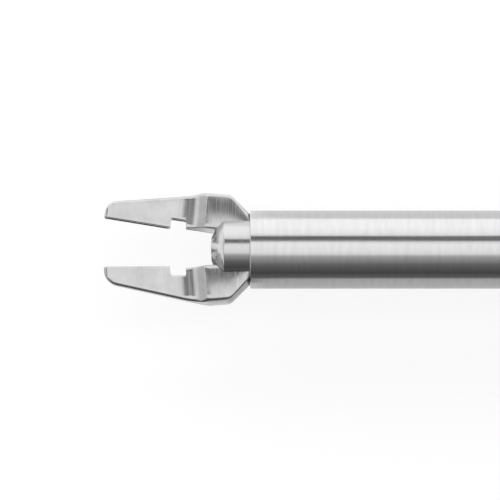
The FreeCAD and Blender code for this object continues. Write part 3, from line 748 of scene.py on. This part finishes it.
def make_jaw_holder():
    """The nosed core between the jaws, slotted for them and pinned to the rod."""
    land_start, land_end = LAND
    land_radius = TUBE_BORE - SLIDING_GAP
    line = rounded([
        (NOSE_X, 0),
        (NOSE_X, NOSE_RADIUS, 0.3),
        ((NOSE_X + NOSE_EDGE_X) / 2, (NOSE_RADIUS + HOLDER_RADIUS) / 2 + NOSE_SWELL, 3.0),
        (NOSE_EDGE_X, HOLDER_RADIUS, 0.5),
        (land_start - LAND_CHAMFER, HOLDER_RADIUS),
        (land_start, land_radius),
        (land_end, land_radius),
        (land_end + LAND_CHAMFER, HOLDER_NECK_RADIUS),
        (HOLDER_END, HOLDER_NECK_RADIUS, 0.3),
        (HOLDER_END, 0),
    ])
    piece = body_of("jaw_holder_turned", turned(line, 128))
    carve(
        piece,
        block((NOSE_X - 1, -CUT, -SLOT_HALF), (SLOT_END, CUT, SLOT_HALF)),
        bar(ROD_RADIUS, ROD_SOCKET_START, HOLDER_END + 1),
        bar(PIN_RADIUS, -CUT, CUT, "Z", (PIVOT_X, 0, 0)),
        bar(HOLDER_PIN_RADIUS, -CUT, CUT, "Z", (HOLDER_PIN_X, 0, 0)),
    )
    settle(piece, "rotor", "turned_steel", "jaw_holder")


def make_tube():
    """The closing tube with its rounded mouth, two slots for the cross pin and its reduced rear."""
    line = rounded([
        (0, TUBE_BORE, MOUTH_ROUND),
        (0, SHAFT_RADIUS, MOUTH_EDGE),
        (SEAT_START, SHAFT_RADIUS, 0.1),
        (SEAT_START, SEAT_RADIUS, 0.05),
        (TUBE_END, SEAT_RADIUS, 0.1),
        (TUBE_END, TUBE_BORE, 0.1),
    ], turn=10)
    piece = body_of("closing_tube_polished", turned(line, 160))
    half = CROSS_PIN_RADIUS + SLIDING_GAP
    front, rear = CROSS_PIN_X - SLOT_ROOM, CROSS_PIN_X + TRAVEL + SLOT_ROOM
    corners = ((front, -half), (rear, -half), (rear, half), (front, half))
    slot = rounded([(*corner, half * 0.99) for corner in corners])
    wall_inside = TUBE_BORE - 1.5
    carve(
        piece,
        plate(slot, -CUT, CUT, 0, 0),
        bar(PORT_HOLE_RADIUS, wall_inside, CUT, "Y", (PORT_X, 0, 0)),
        bar(PORT_HOLE_RADIUS, wall_inside, CUT, "Y", (PORT_X + TRAVEL, 0, 0)),
        bar(LOCK_PIN_RADIUS, -CUT, CUT, "Z", (LOCK_PIN_X, 0, 0)),
    )
    settle(piece, "sheath", "tube_steel", "outer_tube")


def fluted(along, radius, angle):
    """The knob's radius at an angle, hollowed by the flutes for the fingers."""
    on_grip = KNOB_X < along < KNOB_END + 0.1
    if not on_grip or radius < KNOB_RADIUS - FLUTE_DEPTH - 0.2:
        return radius
    pitch = 2 * math.pi / FLUTES
    away = angle % pitch - pitch / 2
    centre = KNOB_RADIUS + FLUTE_RADIUS - FLUTE_DEPTH
    across = centre * math.sin(away)
    if abs(across) >= FLUTE_RADIUS:
        return radius
    hollow = centre * math.cos(away) - math.sqrt(FLUTE_RADIUS ** 2 - across ** 2)
    share = max(0.0, min(1.0, 0.5 + 0.5 * (radius - hollow) / FLUTE_BLEND))
    return radius * (1 - share) + hollow * share - FLUTE_BLEND * share * (1 - share)


def make_knob():
    """The rotation knob: smooth collar, fluted grip and the journal that turns in the handle."""
    groove_start, groove_end = (COLLAR_X + shift for shift in SEAL_GROOVE)
    groove_radius = KNOB_BORE + SEAL_GROOVE_DEPTH
    line = rounded([
        (COLLAR_X, KNOB_BORE, 0.2),
        (COLLAR_X, COLLAR_RADIUS, 1.9),
        (KNOB_X, COLLAR_RADIUS, 0.6),
        (KNOB_X + 1.5, KNOB_RADIUS - 3.2, 0.5),
        (KNOB_X + 4.0, KNOB_RADIUS, 2.4),
        (KNOB_END - 2.6, KNOB_RADIUS, 1.6),
        (KNOB_END, KNOB_RADIUS - 2.2, 1.2),
        (KNOB_END, JOURNAL_RADIUS, 0.1),
        (JOURNAL_END, JOURNAL_RADIUS, 0.4),
        (JOURNAL_END, KNOB_BORE, 0.2),
        (groove_end, KNOB_BORE),
        (groove_end, groove_radius),
        (groove_start, groove_radius),
        (groove_start, KNOB_BORE),
    ])
    piece = body_of("rotation_knob_moulded", turned(line, 360, fluted))
    reach = KNOB_RADIUS + 1
    above_seat = PORT_SEAT + 4.0
    screw_hole = SET_SCREW_RADIUS + PIN_GAP
    carve(
        piece,
        bar(PORT_BODY_RADIUS + 0.1, PORT_SEAT, above_seat, "Y", (PORT_X, 0, 0)),
        bar(PORT_SPIGOT_RADIUS, 0, above_seat, "Y", (PORT_X, 0, 0)),
        bar(CROSS_PIN_RADIUS, -reach, reach, "Z", (CROSS_PIN_X, 0, 0)),
        bar(screw_hole, CROSS_PIN_HALF, reach, "Z", (CROSS_PIN_X, 0, 0)),
        bar(screw_hole, -reach, -CROSS_PIN_HALF, "Z", (CROSS_PIN_X, 0, 0)),
    )
    settle(piece, "rotor", "knob_black", "rotation_knob")


def lugged(along, radius, angle):
    """The rim of the port is flattened on two sides, which leaves the two lugs of the lock."""
    side = abs(math.cos(angle))
    if radius < LUG_FLAT or along <= LUG_START or side < 0.001:
        return radius
    return min(radius, LUG_FLAT / side)


def make_flush_port():
    """The rinsing port, with the tapered socket and the lock lugs of a syringe fitting."""
    line = rounded([
        (PORT_FOOT, PORT_HOLE_RADIUS),
        (PORT_FOOT, PORT_SPIGOT_RADIUS),
        (PORT_SEAT, PORT_SPIGOT_RADIUS),
        (PORT_SEAT, PORT_BODY_RADIUS, 0.15),
        (PORT_SEAT + 4.0, PORT_BODY_RADIUS, 0.5),
        (PORT_SEAT + 4.6, PORT_NECK_RADIUS, 0.4),
        (PORT_TOP - 1.8, PORT_NECK_RADIUS, 0.3),
        (PORT_TOP - 1.4, LUG_RADIUS, 0.2),
        (PORT_TOP, LUG_RADIUS, 0.25),
        (PORT_TOP, LUER_RADIUS + 0.03, 0.2),
        (PORT_TOP - LUER_DEPTH, LUER_RADIUS, 0.1),
        (PORT_TOP - LUER_DEPTH, PORT_HOLE_RADIUS),
    ])
    bm = turned(line, 96, lugged)
    bm.transform(Matrix.Translation((PORT_X, 0, 0)) @ Matrix.Rotation(math.pi / 2, 4, "Z"))
    settle(body_of("flush_port_turned", bm), "rotor", "turned_steel", "flush_port")


def make_washer_and_cap():
    """The thrust washer in front of the handle and the domed plug behind it."""
    front = KNOB_END + SLIDING_GAP
    bore = JOURNAL_RADIUS + 0.1
    washer = turned(rounded([
        (front, bore, 0.1),
        (front, WASHER_RADIUS, 0.2),
        (HANDLE_X, WASHER_RADIUS, 0.2),
        (HANDLE_X, bore, 0.1),
    ]), 128)
    settle(body_of("thrust_washer_turned", washer), "handle", "turned_steel", "thrust_washer")
    seat = HANDLE_X + HANDLE_DEPTH
    cap = turned(rounded([
        (seat - 4.0, 0),
        (seat - 4.0, CAP_STEM_RADIUS, 0.3),
        (seat, CAP_STEM_RADIUS),
        (seat, CAP_RADIUS, 0.1),
        (seat + 1.1, CAP_RADIUS, 0.9),
        (seat + 2.0, CAP_RADIUS / 2, 1.5),
        (seat + 2.0, 0),
    ]), 96)
    settle(body_of("end_cap_turned", cap), "handle", "turned_steel", "end_cap")


def tree_with(name, fields):
    """An empty Geometry Nodes tree with its inputs, its input node and the identifier of each input."""
    tree = bpy.data.node_groups.new(name, "GeometryNodeTree")
    sockets = {}
    for label, kind in fields.items():
        socket = tree.interface.new_socket(label, in_out="INPUT", socket_type=f"NodeSocket{kind}")
        sockets[label] = socket.identifier
    tree.interface.new_socket("Geometry", in_out="OUTPUT", socket_type="NodeSocketGeometry")
    return tree, add_node(tree, "NodeGroupInput"), sockets


def finish_tree(tree, given, geometry):
    """Makes instances real, gives them their material and ends the tree."""
    real = add_node(tree, "GeometryNodeRealizeInstances", None, {"Geometry": geometry})
    dressed = add_node(tree, "GeometryNodeSetMaterial", None, {
        "Geometry": real.outputs["Geometry"],
        "Material": given.outputs["Material"],
    })
    add_node(tree, "NodeGroupOutput", None, {"Geometry": dressed.outputs["Geometry"]})


def grown(piece, tree, sockets, values):
    """Runs a tree on a piece with these values, and works the result into its mesh."""
    change = piece.modifiers.new("grown", "NODES")
    change.node_group = tree
    for label, value in values.items():
        change[sockets[label]] = value
    applied(piece)


def rib_tree():
    """Copies a rib along a line, its length changing evenly from the first to the last."""
    tree, given, sockets = tree_with("grip_ribs", {
        "Rib": "Object",
        "Count": "Int",
        "Start": "Vector",
        "Step": "Vector",
        "First Length": "Float",
        "Last Length": "Float",
        "Material": "Material",
    })
    places = add_node(tree, "GeometryNodeMeshLine", None, {
        "Count": given.outputs["Count"],
        "Start Location": given.outputs["Start"],
        "Offset": given.outputs["Step"],
    })
    last = add_node(tree, "ShaderNodeMath", {"operation": "SUBTRACT", 1: 1.0}, {0: given.outputs["Count"]})
    index = add_node(tree, "GeometryNodeInputIndex")
    length = add_node(tree, "ShaderNodeMapRange", None, {
        "Value": index.outputs["Index"],
        "From Max": last.outputs[0],
        "To Min": given.outputs["First Length"],
        "To Max": given.outputs["Last Length"],
    })
    scale = add_node(
        tree, "ShaderNodeCombineXYZ", {"Y": 1.0, "Z": 1.0}, {"X": length.outputs["Result"]}
    )
    rib = add_node(tree, "GeometryNodeObjectInfo", None, {"Object": given.outputs["Rib"]})
    copies = add_node(tree, "GeometryNodeInstanceOnPoints", None, {
        "Points": places.outputs["Mesh"],
        "Instance": rib.outputs["Geometry"],
        "Scale": scale.outputs["Vector"],
    })
    finish_tree(tree, given, copies.outputs["Instances"])
    return tree, sockets


def sink_pocket(piece, corners, face, corner_round):
    """Cuts a grip pocket into a face of a piece, which may be at either side."""
    side = math.copysign(1, face)
    line = rounded([(x, y, corner_round) for x, y in corners])
    low, high = sorted((face - side * POCKET_DEPTH, face + side))
    carve(piece, plate(line, low, high, 0, 0))


def add_ribs(piece, corners, face, corner_round):
    """Stands a row of ribs on the floor of a grip pocket. Nothing is carved after this."""
    floor = face - math.copysign(POCKET_DEPTH, face)
    top_left, top_right, low_right, low_left = (Vector(corner) for corner in corners)
    top, bottom = (top_left + top_right) / 2, (low_left + low_right) / 2
    count = int(((top - bottom).length - corner_round) / RIB_PITCH)
    step = (bottom - top) / (count + 0.6)
    start = top + step * 0.8
    rib = body_of("rib", bar(RIB_RADIUS, -0.5, 0.5, steps=24))
    ribs = linked("ribs", bpy.data.meshes.new("ribs"))
    grown(ribs, *rib_tree(), {
        "Rib": rib,
        "Count": count,
        "Start": (start.x, start.y, floor),
        "Step": (step.x, step.y, 0.0),
        "First Length": (top_right - top_left).length - 2 * RIB_END_GAP,
        "Last Length": (low_right - low_left).length - 2 * RIB_END_GAP,
        "Material": MATERIALS["handle_steel"],
    })
    both = bmesh.new()
    both.from_mesh(piece.data)
    both.from_mesh(ribs.data)
    both.to_mesh(piece.data)
    both.free()
    bpy.data.objects.remove(ribs)
    bpy.data.objects.remove(rib)


def handle_line():
    """Housing and rear grip seen from above, each corner with the radius of its round."""
    corners = [
        (0, 15.5, 3),
        (HANDLE_DEPTH, 15.5, 9),
        (HANDLE_DEPTH, -12, 14),
        (66, -48, 32),
        (67, -106, 9),
        (50, -108, 8),
        (44, -62, 34),
        (35, -22, 7),
        (0, -22, 6),
    ]
    return rounded([(HANDLE_X + x, y, radius) for x, y, radius in corners], turn=5)


def make_handle_shells():
    """The two halves of the handle, hollow round the spool and slotted for the lever."""
    stop = middle_of("lever_stop_pin")
    pivot = middle_of("lever_pivot_screw")
    front, rear, slot = HANDLE_X + 8.0, HANDLE_X + 35.0, HANDLE_X + 13.0
    top, floor, opening = 8.5, -9.0, -30.0
    corners = [(front, top), (rear, top), (rear, opening), (slot, opening), (slot, floor), (front, floor)]
    cavity = [Vector(corner) for corner in corners]
    shank_hole, head_hole = (size + SCREW_GAP for size in SHELL_SCREW[:2])
    holes = [(HANDLE_X + x, y, shank_hole, head_hole) for x, y in SCREW_PLACES]
    holes.append((pivot.x, pivot.y, PIVOT_SCREW[0], PIVOT_SCREW[1] + SCREW_GAP))
    pocket = [(HANDLE_X + x, y) for x, y in GRIP_POCKET]
    for side, name in ((1, "right"), (-1, "left")):
        halved = plate(handle_line(), 0, SHELL_HALF, PARTING_BREAK, SHELL_ROUND)
        piece = body_of(f"handle_shell_{name}_satin", halved)
        carve(
            piece,
            plate(cavity, -1, CAVITY_HALF, 0, 0),
            bar(BUSH_SEAT_RADIUS, HANDLE_X - 1, front + 1, steps=96),
            bar(SPRING_ROOM_RADIUS, front - 0.5, JOURNAL_END + 1, steps=96),
            bar(REAR_BORE_RADIUS, rear - 1, rear + 9),
            bar(CAP_STEM_RADIUS, rear + 8, rear + 14),
            bar(STOP_PIN_RADIUS, -1, SCREW_END, "Z", (stop.x, stop.y, 0)),
        )
        for x, y, shank, head in holes:
            if side < 0:
                carve(piece, bar(min(shank, PIVOT_SCREW[0] - 0.01), -1, SCREW_END, "Z", (x, y, 0)))
                continue
            above = SHELL_HALF + 1.5
            hole = [(-1, 0), (-1, shank), (HEAD_SEAT, shank), (HEAD_SEAT, head), (above, head), (above, 0)]
            counterbore = turned(hole, 48)
            counterbore.transform(Matrix.Translation((x, y, 0)) @ Matrix.Rotation(-math.pi / 2, 4, "Y"))
            carve(piece, counterbore)
        sink_pocket(piece, pocket, SHELL_HALF, GRIP_POCKET_ROUND)
        add_ribs(piece, pocket, SHELL_HALF, GRIP_POCKET_ROUND)
        if side < 0:
            mirror(piece.data, (0, 0, 1))
        settle(piece, "handle", "handle_steel", f"handle_shell_{name}")


def make_lever():
    """The finger lever with its hub, and the two prongs of its yoke, which end in pads at the spool."""
    pivot = middle_of("lever_pivot_screw")
    pivot.z = 0
    # Across and up from the pivot, and the radius of the round
    corners = [
        (-3.8, -0.5, 2.2),
        (4.2, -2.5, 2.2),
        (3.2, -12.5, 8),
        (-3.3, -33.5, 32),
        (-5.8, -68.5, 30),
        (-9.4, -92.5, 3.5),
        (-19.5, -95.5, 3.5),
        (-15.2, -68.5, 30),
        (-13.0, -33.5, 34),
        (-8.8, -12.5, 8),
    ]
    line = rounded([(pivot.x + x, pivot.y + y, radius) for x, y, radius in corners], turn=5)
    piece = body_of("finger_lever_satin", plate(line, -LEVER_HALF, LEVER_HALF, LEVER_ROUND, LEVER_ROUND))
    hub_half = LEVER_HALF - STEP_BACK
    prong_outer = hub_half - STEP_BACK
    pad_outer = prong_outer - STEP_BACK
    carve(piece, bar(HUB_RADIUS, -hub_half, hub_half, "Z", pivot), way="UNION")
    half_swing = math.asin((SPOOL_X - pivot.x) / PRONG_LENGTH)
    for side in (1, -1):
        low, high = sorted((side * PRONG_INNER, side * prong_outer))
        prong = block((-PRONG_HALF, 0, low), (PRONG_HALF, PRONG_LENGTH, high))
        prong.transform(Matrix.Translation(pivot) @ Matrix.Rotation(-half_swing, 4, "Z"))
        low, high = sorted((side * (PRONG_INNER + STEP_BACK), side * pad_outer))
        carve(piece, prong, bar(PAD_RADIUS, low, high, "Z", (SPOOL_X, 0, 0)), way="UNION")
    carve(piece, bar(LEVER_BORE, -CUT, CUT, "Z", pivot))
    pocket = [(pivot.x + x, pivot.y + y) for x, y in LEVER_POCKET]
    for change in (sink_pocket, add_ribs):
        for face in (LEVER_HALF, -LEVER_HALF):
            change(piece, pocket, face, LEVER_POCKET_ROUND)
    settle(piece, "lever", "handle_steel", "lever")


def hexagon(flats, bottom, top):
    """A six-sided bar on X, as wide across its flats as the key."""
    return bar(flats / math.sqrt(3), bottom, top, steps=6)


def socket_screw(shank, head, flats):
    """A cylinder-head screw with a hexagon socket, standing on Z."""
    top = SHELL_HALF - 0.2
    screw = body_of("screw", turned(rounded([
        (-SCREW_END, 0),
        (-SCREW_END, shank, 0.15),
        (HEAD_SEAT, shank),
        (HEAD_SEAT, head, 0.1),
        (top, head, 0.35),
        (top, 0),
    ]), 48))
    socket_bottom = top - 0.55 * (top - HEAD_SEAT) - 0.4
    carve(screw, hexagon(flats, socket_bottom, top + 1))
    screw.data.transform(Matrix.Rotation(-math.pi / 2, 4, "Y"))
    return screw


def spread_tree(name):
    """Copies a fastener to each point that it is given, each turned as it was left by the driver."""
    tree, given, sockets = tree_with(name, {
        "Places": "Geometry",
        "Fastener": "Object",
        "Material": "Material",
        "Seed": "Int",
    })
    fastener = add_node(tree, "GeometryNodeObjectInfo", None, {"Object": given.outputs["Fastener"]})
    turn = add_node(
        tree,
        "FunctionNodeRandomValue",
        {"data_type": "FLOAT_VECTOR", 0: (0, 0, 0), 1: (0, 0, math.pi / 3)},
        {"Seed": given.outputs["Seed"]},
    )
    copies = add_node(tree, "GeometryNodeInstanceOnPoints", None, {
        "Points": given.outputs["Places"],
        "Instance": fastener.outputs["Geometry"],
        "Rotation": turn.outputs[0],
    })
    finish_tree(tree, given, copies.outputs["Instances"])
    return tree, sockets


def spread_fasteners(name, fastener, places):
    """One mesh of a fastener at each place."""
    points = bmesh.new()
    for place in places:
        points.verts.new(place)
    mesh = bpy.data.meshes.new(name)
    points.to_mesh(mesh)
    points.free()
    piece = linked(name, mesh)
    grown(piece, *spread_tree(f"{name}_places"), {
        "Fastener": fastener,
        "Material": MATERIALS["turned_steel"],
        "Seed": 4,
    })
    bpy.data.objects.remove(fastener)
    return piece


def make_screws():
    """Handle screws, the pivot screw of the lever and the set screws of the knob."""
    pivot = middle_of("lever_pivot_screw")
    for node, sizes, places in (
        ("handle_screws", SHELL_SCREW, [(HANDLE_X + x, y, 0) for x, y in SCREW_PLACES]),
        ("lever_pivot_screw", PIVOT_SCREW, [(pivot.x, pivot.y, 0)]),
    ):
        piece = spread_fasteners(f"{node}_socket_head", socket_screw(*sizes), places)
        settle(piece, "handle", "turned_steel", node)
    top = CROSS_PIN_HALF + SET_SCREW_LENGTH
    headless = body_of("screw", turned(rounded([
        (CROSS_PIN_HALF, 0),
        (CROSS_PIN_HALF, SET_SCREW_RADIUS, 0.2),
        (top, SET_SCREW_RADIUS, 0.2),
        (top, 0),
    ]), 48))
    socket_bottom = CROSS_PIN_HALF + 1.2
    carve(headless, hexagon(SET_SCREW_FLATS, socket_bottom, top + 8))
    headless.data.transform(Matrix.Translation((CROSS_PIN_X, 0, 0)) @ Matrix.Rotation(-math.pi / 2, 4, "Y"))
    other = headless.data.copy()
    mirror(other, (0, 0, 1))
    pair = bmesh.new()
    pair.from_mesh(headless.data)
    pair.from_mesh(other)
    bpy.data.objects.remove(headless)
    settle(body_of("knob_set_screws_socket", pair), "rotor", "turned_steel", "knob_set_screws")


def coil_tree():
    """Wire wound into a spring, its cut ends closed flat."""
    tree, given, sockets = tree_with("spring_coil", {
        "Radius": "Float",
        "Wire": "Float",
        "Length": "Float",
        "Turns": "Float",
        "Material": "Material",
    })
    path = add_node(tree, "GeometryNodeCurveSpiral", {"Resolution": 40}, {
        "Rotations": given.outputs["Turns"],
        "Start Radius": given.outputs["Radius"],
        "End Radius": given.outputs["Radius"],
        "Height": given.outputs["Length"],
    })
    wire = add_node(
        tree, "GeometryNodeCurvePrimitiveCircle", {"Resolution": 14}, {"Radius": given.outputs["Wire"]}
    )
    coil = add_node(tree, "GeometryNodeCurveToMesh", {"Fill Caps": True}, {
        "Curve": path.outputs["Curve"],
        "Profile Curve": wire.outputs["Curve"],
    })
    finish_tree(tree, given, coil.outputs["Mesh"])
    return tree, sockets


def coil_spring(name, length, radius, wire, turns):
    """A spring that stands on the origin, along Z."""
    piece = linked(name, bpy.data.meshes.new(name))
    grown(piece, *coil_tree(), {
        "Radius": radius,
        "Wire": wire,
        "Length": length - 2 * wire,
        "Turns": float(turns),
        "Material": MATERIALS["spring_steel"],
    })
    piece.data.transform(Matrix.Translation((0, 0, wire)))
    return piece


def make_springs():
    """The jaw spring between the legs and the return spring in front of the spool, each wound at one fixed
    length.
    """
    low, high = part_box("jaw_spring")
    length = (high.y - low.y) / MM
    spring = coil_spring("jaw_spring_wound", length, *JAW_SPRING)
    spring.data.transform(Matrix.Rotation(-math.pi / 2, 4, "X"))
    spring.data.transform(Matrix.Translation((middle_of("jaw_spring").x, low.y / MM, 0)))
    settle(spring, "rotor", "spring_steel", "jaw_spring", crease=60)
    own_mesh(spring)
    length = RETURN_SPRING_LENGTH
    spring = coil_spring("return_spring_wound", length, *RETURN_SPRING)
    spring.data.transform(Matrix.Translation((JOURNAL_END, 0, 0)) @ Matrix.Rotation(math.pi / 2, 4, "Y"))
    settle(spring, "sheath", "spring_steel", "return_spring", crease=60)
    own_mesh(spring)


def dress_inner_pieces():
    """Pieces whose solids are right as they are get their finish."""
    finishes = {
        "turned_steel": (
            "jaw_pivot_pin", "inner_rod", "holder_pin", "rod_cross_pin", "knob_lock_nut",
            "drive_sleeve", "tube_lock_pins", "lever_stop_pin",
        ),
        "bush_bronze": ("front_bush", "rear_bush", "lever_bush"),
        "guide_plastic": ("rod_guides",),
        "seal_rubber": ("rod_seal", "knob_seal"),
    }
    for slot, names in finishes.items():
        for name in names:
            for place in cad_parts[name].material_slots:
                place.material = MATERIALS[slot]


def make_camera():
    """The photograph's view: square to the shaft, about 76 degrees above the table, 64 mm wide."""
    target = Vector((0.000026, -0.000046, 0.0))
    distance = 0.6
    toward = Vector((0, -0.2334, 0.9724)).normalized()
    width = 0.06402
    camera = linked("camera", bpy.data.cameras.new("camera"))
    camera.data.sensor_width = 36.0
    camera.data.lens = camera.data.sensor_width * distance / width
    camera.data.clip_start = 0.01
    camera.data.clip_end = 20.0
    camera.location = target + toward * distance
    camera.rotation_euler = (-toward).to_track_quat("-Z", "Y").to_euler()
    bpy.context.scene.camera = camera


def grey_bands(tree, source, low, high, bands):
    """A colour ramp over a value from low to high. Bands are places on it, each with its grey."""
    share = add_node(tree, "ShaderNodeMapRange", {"From Min": low, "From Max": high}, {"Value": source})
    ramp = add_node(tree, "ShaderNodeValToRGB", None, {"Fac": share.outputs["Result"]})
    stops = ramp.color_ramp.elements
    while len(stops) < len(bands):
        stops.new(0.5)
    for stop, (place, grey) in zip(stops, bands):
        stop.position = (place - low) / (high - low)
        stop.color = (grey, grey, grey, 1)
    return ramp.outputs["Color"]


def painted_table_reflection(tree):
    """Painted reflection of the table for metal: painted shade towards the camera, in strips that follow each
    other along X.
    """
    place = add_node(tree, "ShaderNodeTexCoord")
    parts = add_node(tree, "ShaderNodeSeparateXYZ", None, {"Vector": place.outputs["Object"]})
    # Millimetres across the table and the painted light from there. The last strip has a dark gap under the
    # blades, a painted shadow
    beside_tube = [
        (-100, 0.13), (-62, 0.14), (-46, 0.54), (-8, 0.62), (4, 0.67), (10, 0.72), (15, 0.8), (24, 0.88),
    ]
    under_jaws = [(-100, 0.1), (-26, 0.1), (-20, 0.84), (4, 0.9), (15, 1.12), (24, 1.24)]
    under_blades = [
        (-100, 0.1), (-21, 0.1), (-16, 0.84), (-4.5, 0.84), (-3.5, 0.1), (4, 0.1), (6, 1.0), (24, 1.2),
    ]
    half, blend = 100, 2

    def light_across(strip):
        """The light from each place across one strip."""
        bands = [(across * MM, light) for across, light in strip]
        return grey_bands(tree, parts.outputs["Y"], -half * MM, half * MM, bands)

    light = light_across(beside_tube)
    for start, strip in ((0, under_jaws), (-8, under_blades)):
        begun = add_node(
            tree,
            "ShaderNodeMapRange",
            {"From Min": (start + blend) * MM, "From Max": (start - blend) * MM},
            {"Value": parts.outputs["X"]},
        )
        mixed = add_node(tree, "ShaderNodeMix", {"data_type": "RGBA"}, {
            0: begun.outputs["Result"],
            6: light,
            7: light_across(strip),
        })
        light = mixed.outputs[2]
    return add_node(tree, "ShaderNodeEmission", None, {"Color": light}).outputs["Emission"]


def make_floor():
    """A white table just under the object. It shows white to the camera and keeps the shadow."""
    below = 0.0002
    size = 3.0
    camera_lift = 0.62
    bm = bmesh.new()
    bmesh.ops.create_grid(bm, x_segments=1, y_segments=1, size=size)
    mesh = bpy.data.meshes.new("floor")
    bm.to_mesh(mesh)
    bm.free()
    floor = linked("floor", mesh)
    floor.location = (0, 0, cad_box[0].z - below)
    material, tree, shader = principled("white_table", "B6B6B6", 0.0, 0.9)
    shader.inputs["Emission Color"].default_value = linear("FFFFFF")
    rays = add_node(tree, "ShaderNodeLightPath")
    lift = add_node(
        tree, "ShaderNodeMath", {"operation": "MULTIPLY", 1: camera_lift}, {0: rays.outputs["Is Camera Ray"]}
    )
    tree.links.new(lift.outputs[0], shader.inputs["Emission Strength"])
    # Metal and glass see the painted table glow in place of the lit table, with its painted shade and shadow
    mirrored = add_node(tree, "ShaderNodeMath", {"operation": "MAXIMUM"}, {
        0: rays.outputs["Is Glossy Ray"],
        1: rays.outputs["Is Transmission Ray"],
    })
    mixed = add_node(tree, "ShaderNodeMixShader", None, {
        0: mirrored.outputs[0],
        1: shader.outputs["BSDF"],
        2: painted_table_reflection(tree),
    })
    tree.links.new(mixed.outputs["Shader"], tree.nodes["Material Output"].inputs["Surface"])
    mesh.materials.append(material)


def gap_shade(tree, angle, along):
    """What the dark gap beside the ceiling leaves of the light: 1 outside it, nearly 0 in it.

    The gap widens a little away from the middle of the shaft and fades out towards both ends.
    """
    centre, half, soft, widening = (math.radians(degrees) for degrees in (19.5, 6.5, 3.0, 5.5))
    darkness = 0.88
    offset = add_node(tree, "ShaderNodeMath", {"operation": "SUBTRACT", 1: centre}, {0: angle})
    from_centre = add_node(tree, "ShaderNodeMath", {"operation": "ABSOLUTE"}, {0: offset.outputs[0]})
    wider = add_node(
        tree, "ShaderNodeMapRange", {"From Min": 0.05, "From Max": 0.25, "To Max": widening}, {"Value": along}
    )
    away = add_node(tree, "ShaderNodeMath", {"operation": "SUBTRACT"}, {
        0: from_centre.outputs[0],
        1: wider.outputs["Result"],
    })
    falling = {"interpolation_type": "SMOOTHSTEP", "To Min": 1.0, "To Max": 0.0}
    in_gap = add_node(
        tree,
        "ShaderNodeMapRange",
        {"From Min": half, "From Max": half + soft, **falling},
        {"Value": away.outputs[0]},
    )
    off_ends = add_node(
        tree, "ShaderNodeMapRange", {"From Min": 0.28, "From Max": 0.56, **falling}, {"Value": along}
    )
    dark = add_node(tree, "ShaderNodeMath", {"operation": "MULTIPLY"}, {
        0: in_gap.outputs["Result"],
        1: off_ends.outputs["Result"],
    })
    left = add_node(
        tree, "ShaderNodeMath", {"operation": "MULTIPLY_ADD", 1: -darkness, 2: 1.0}, {0: dark.outputs[0]}
    )
    return left.outputs[0]


def studio_world():
    """A studio seen by direction: bright ceiling with a dark gap, bright and dark walls, and an end wall."""
    world = bpy.data.worlds.new("studio")
    bpy.context.scene.world = world
    world.use_nodes = True
    tree = world.node_tree
    background = tree.nodes["Background"]
    white = linear("FFFFFF")
    place = add_node(tree, "ShaderNodeTexCoord")
    parts = add_node(tree, "ShaderNodeSeparateXYZ", None, {"Vector": place.outputs["Generated"]})
    angle = add_node(
        tree, "ShaderNodeMath", {"operation": "ARCTAN2"}, {0: parts.outputs["Y"], 1: parts.outputs["Z"]}
    ).outputs[0]
    along = add_node(tree, "ShaderNodeMath", {"operation": "ABSOLUTE"}, {0: parts.outputs["X"]}).outputs[0]
    # Degrees from overhead towards +Y, and the light from there
    bands = [
        (-180, 0.5), (-100, 0.3), (-90, 0.07), (-60, 0.16), (-33, 0.5), (-26, 1.1),
        (0, 1.25), (26, 1.2), (60, 1.4), (95, 1.4), (110, 0.6), (180, 0.5),
    ]
    brightest = 1.5
    bands = [(math.radians(degrees), light / brightest) for degrees, light in bands]
    walls = grey_bands(tree, angle, -math.pi, math.pi, bands)
    tree.links.new(walls, background.inputs["Color"])
    shade = gap_shade(tree, angle, along)
    strength = add_node(tree, "ShaderNodeMath", {"operation": "MULTIPLY", 1: brightest}, {0: shade})
    tree.links.new(strength.outputs[0], background.inputs["Strength"])
    # The wall past the tips is brighter near the table
    smooth = {"interpolation_type": "SMOOTHSTEP"}
    wall_light = add_node(
        tree,
        "ShaderNodeMapRange",
        {"From Min": 0.12, "From Max": 0.36, "To Min": 1.3, "To Max": 0.71, **smooth},
        {"Value": parts.outputs["Z"]},
    )
    end_wall = add_node(
        tree, "ShaderNodeBackground", {"Color": white}, {"Strength": wall_light.outputs["Result"]}
    )
    past_tips = add_node(
        tree,
        "ShaderNodeMapRange",
        {"From Min": -0.45, "From Max": -0.85, **smooth},
        {"Value": parts.outputs["X"]},
    )
    room = add_node(tree, "ShaderNodeMixShader", None, {
        0: past_tips.outputs["Result"],
        1: background.outputs["Background"],
        2: end_wall.outputs["Background"],
    })
    backdrop = add_node(tree, "ShaderNodeBackground", {"Color": white, "Strength": 1.0})
    rays = add_node(tree, "ShaderNodeLightPath")
    mixed = add_node(tree, "ShaderNodeMixShader", None, {
        0: rays.outputs["Is Camera Ray"],
        1: room.outputs["Shader"],
        2: backdrop.outputs["Background"],
    })
    tree.links.new(mixed.outputs["Shader"], tree.nodes["World Output"].inputs["Surface"])


make_camera()
make_floor()
studio_world()
make_jaws()
make_jaw_holder()
make_tube()
make_knob()
make_flush_port()
make_washer_and_cap()
make_handle_shells()
make_lever()
make_screws()
make_springs()
dress_inner_pieces()

bpy.context.scene.view_settings.view_transform = "Standard"
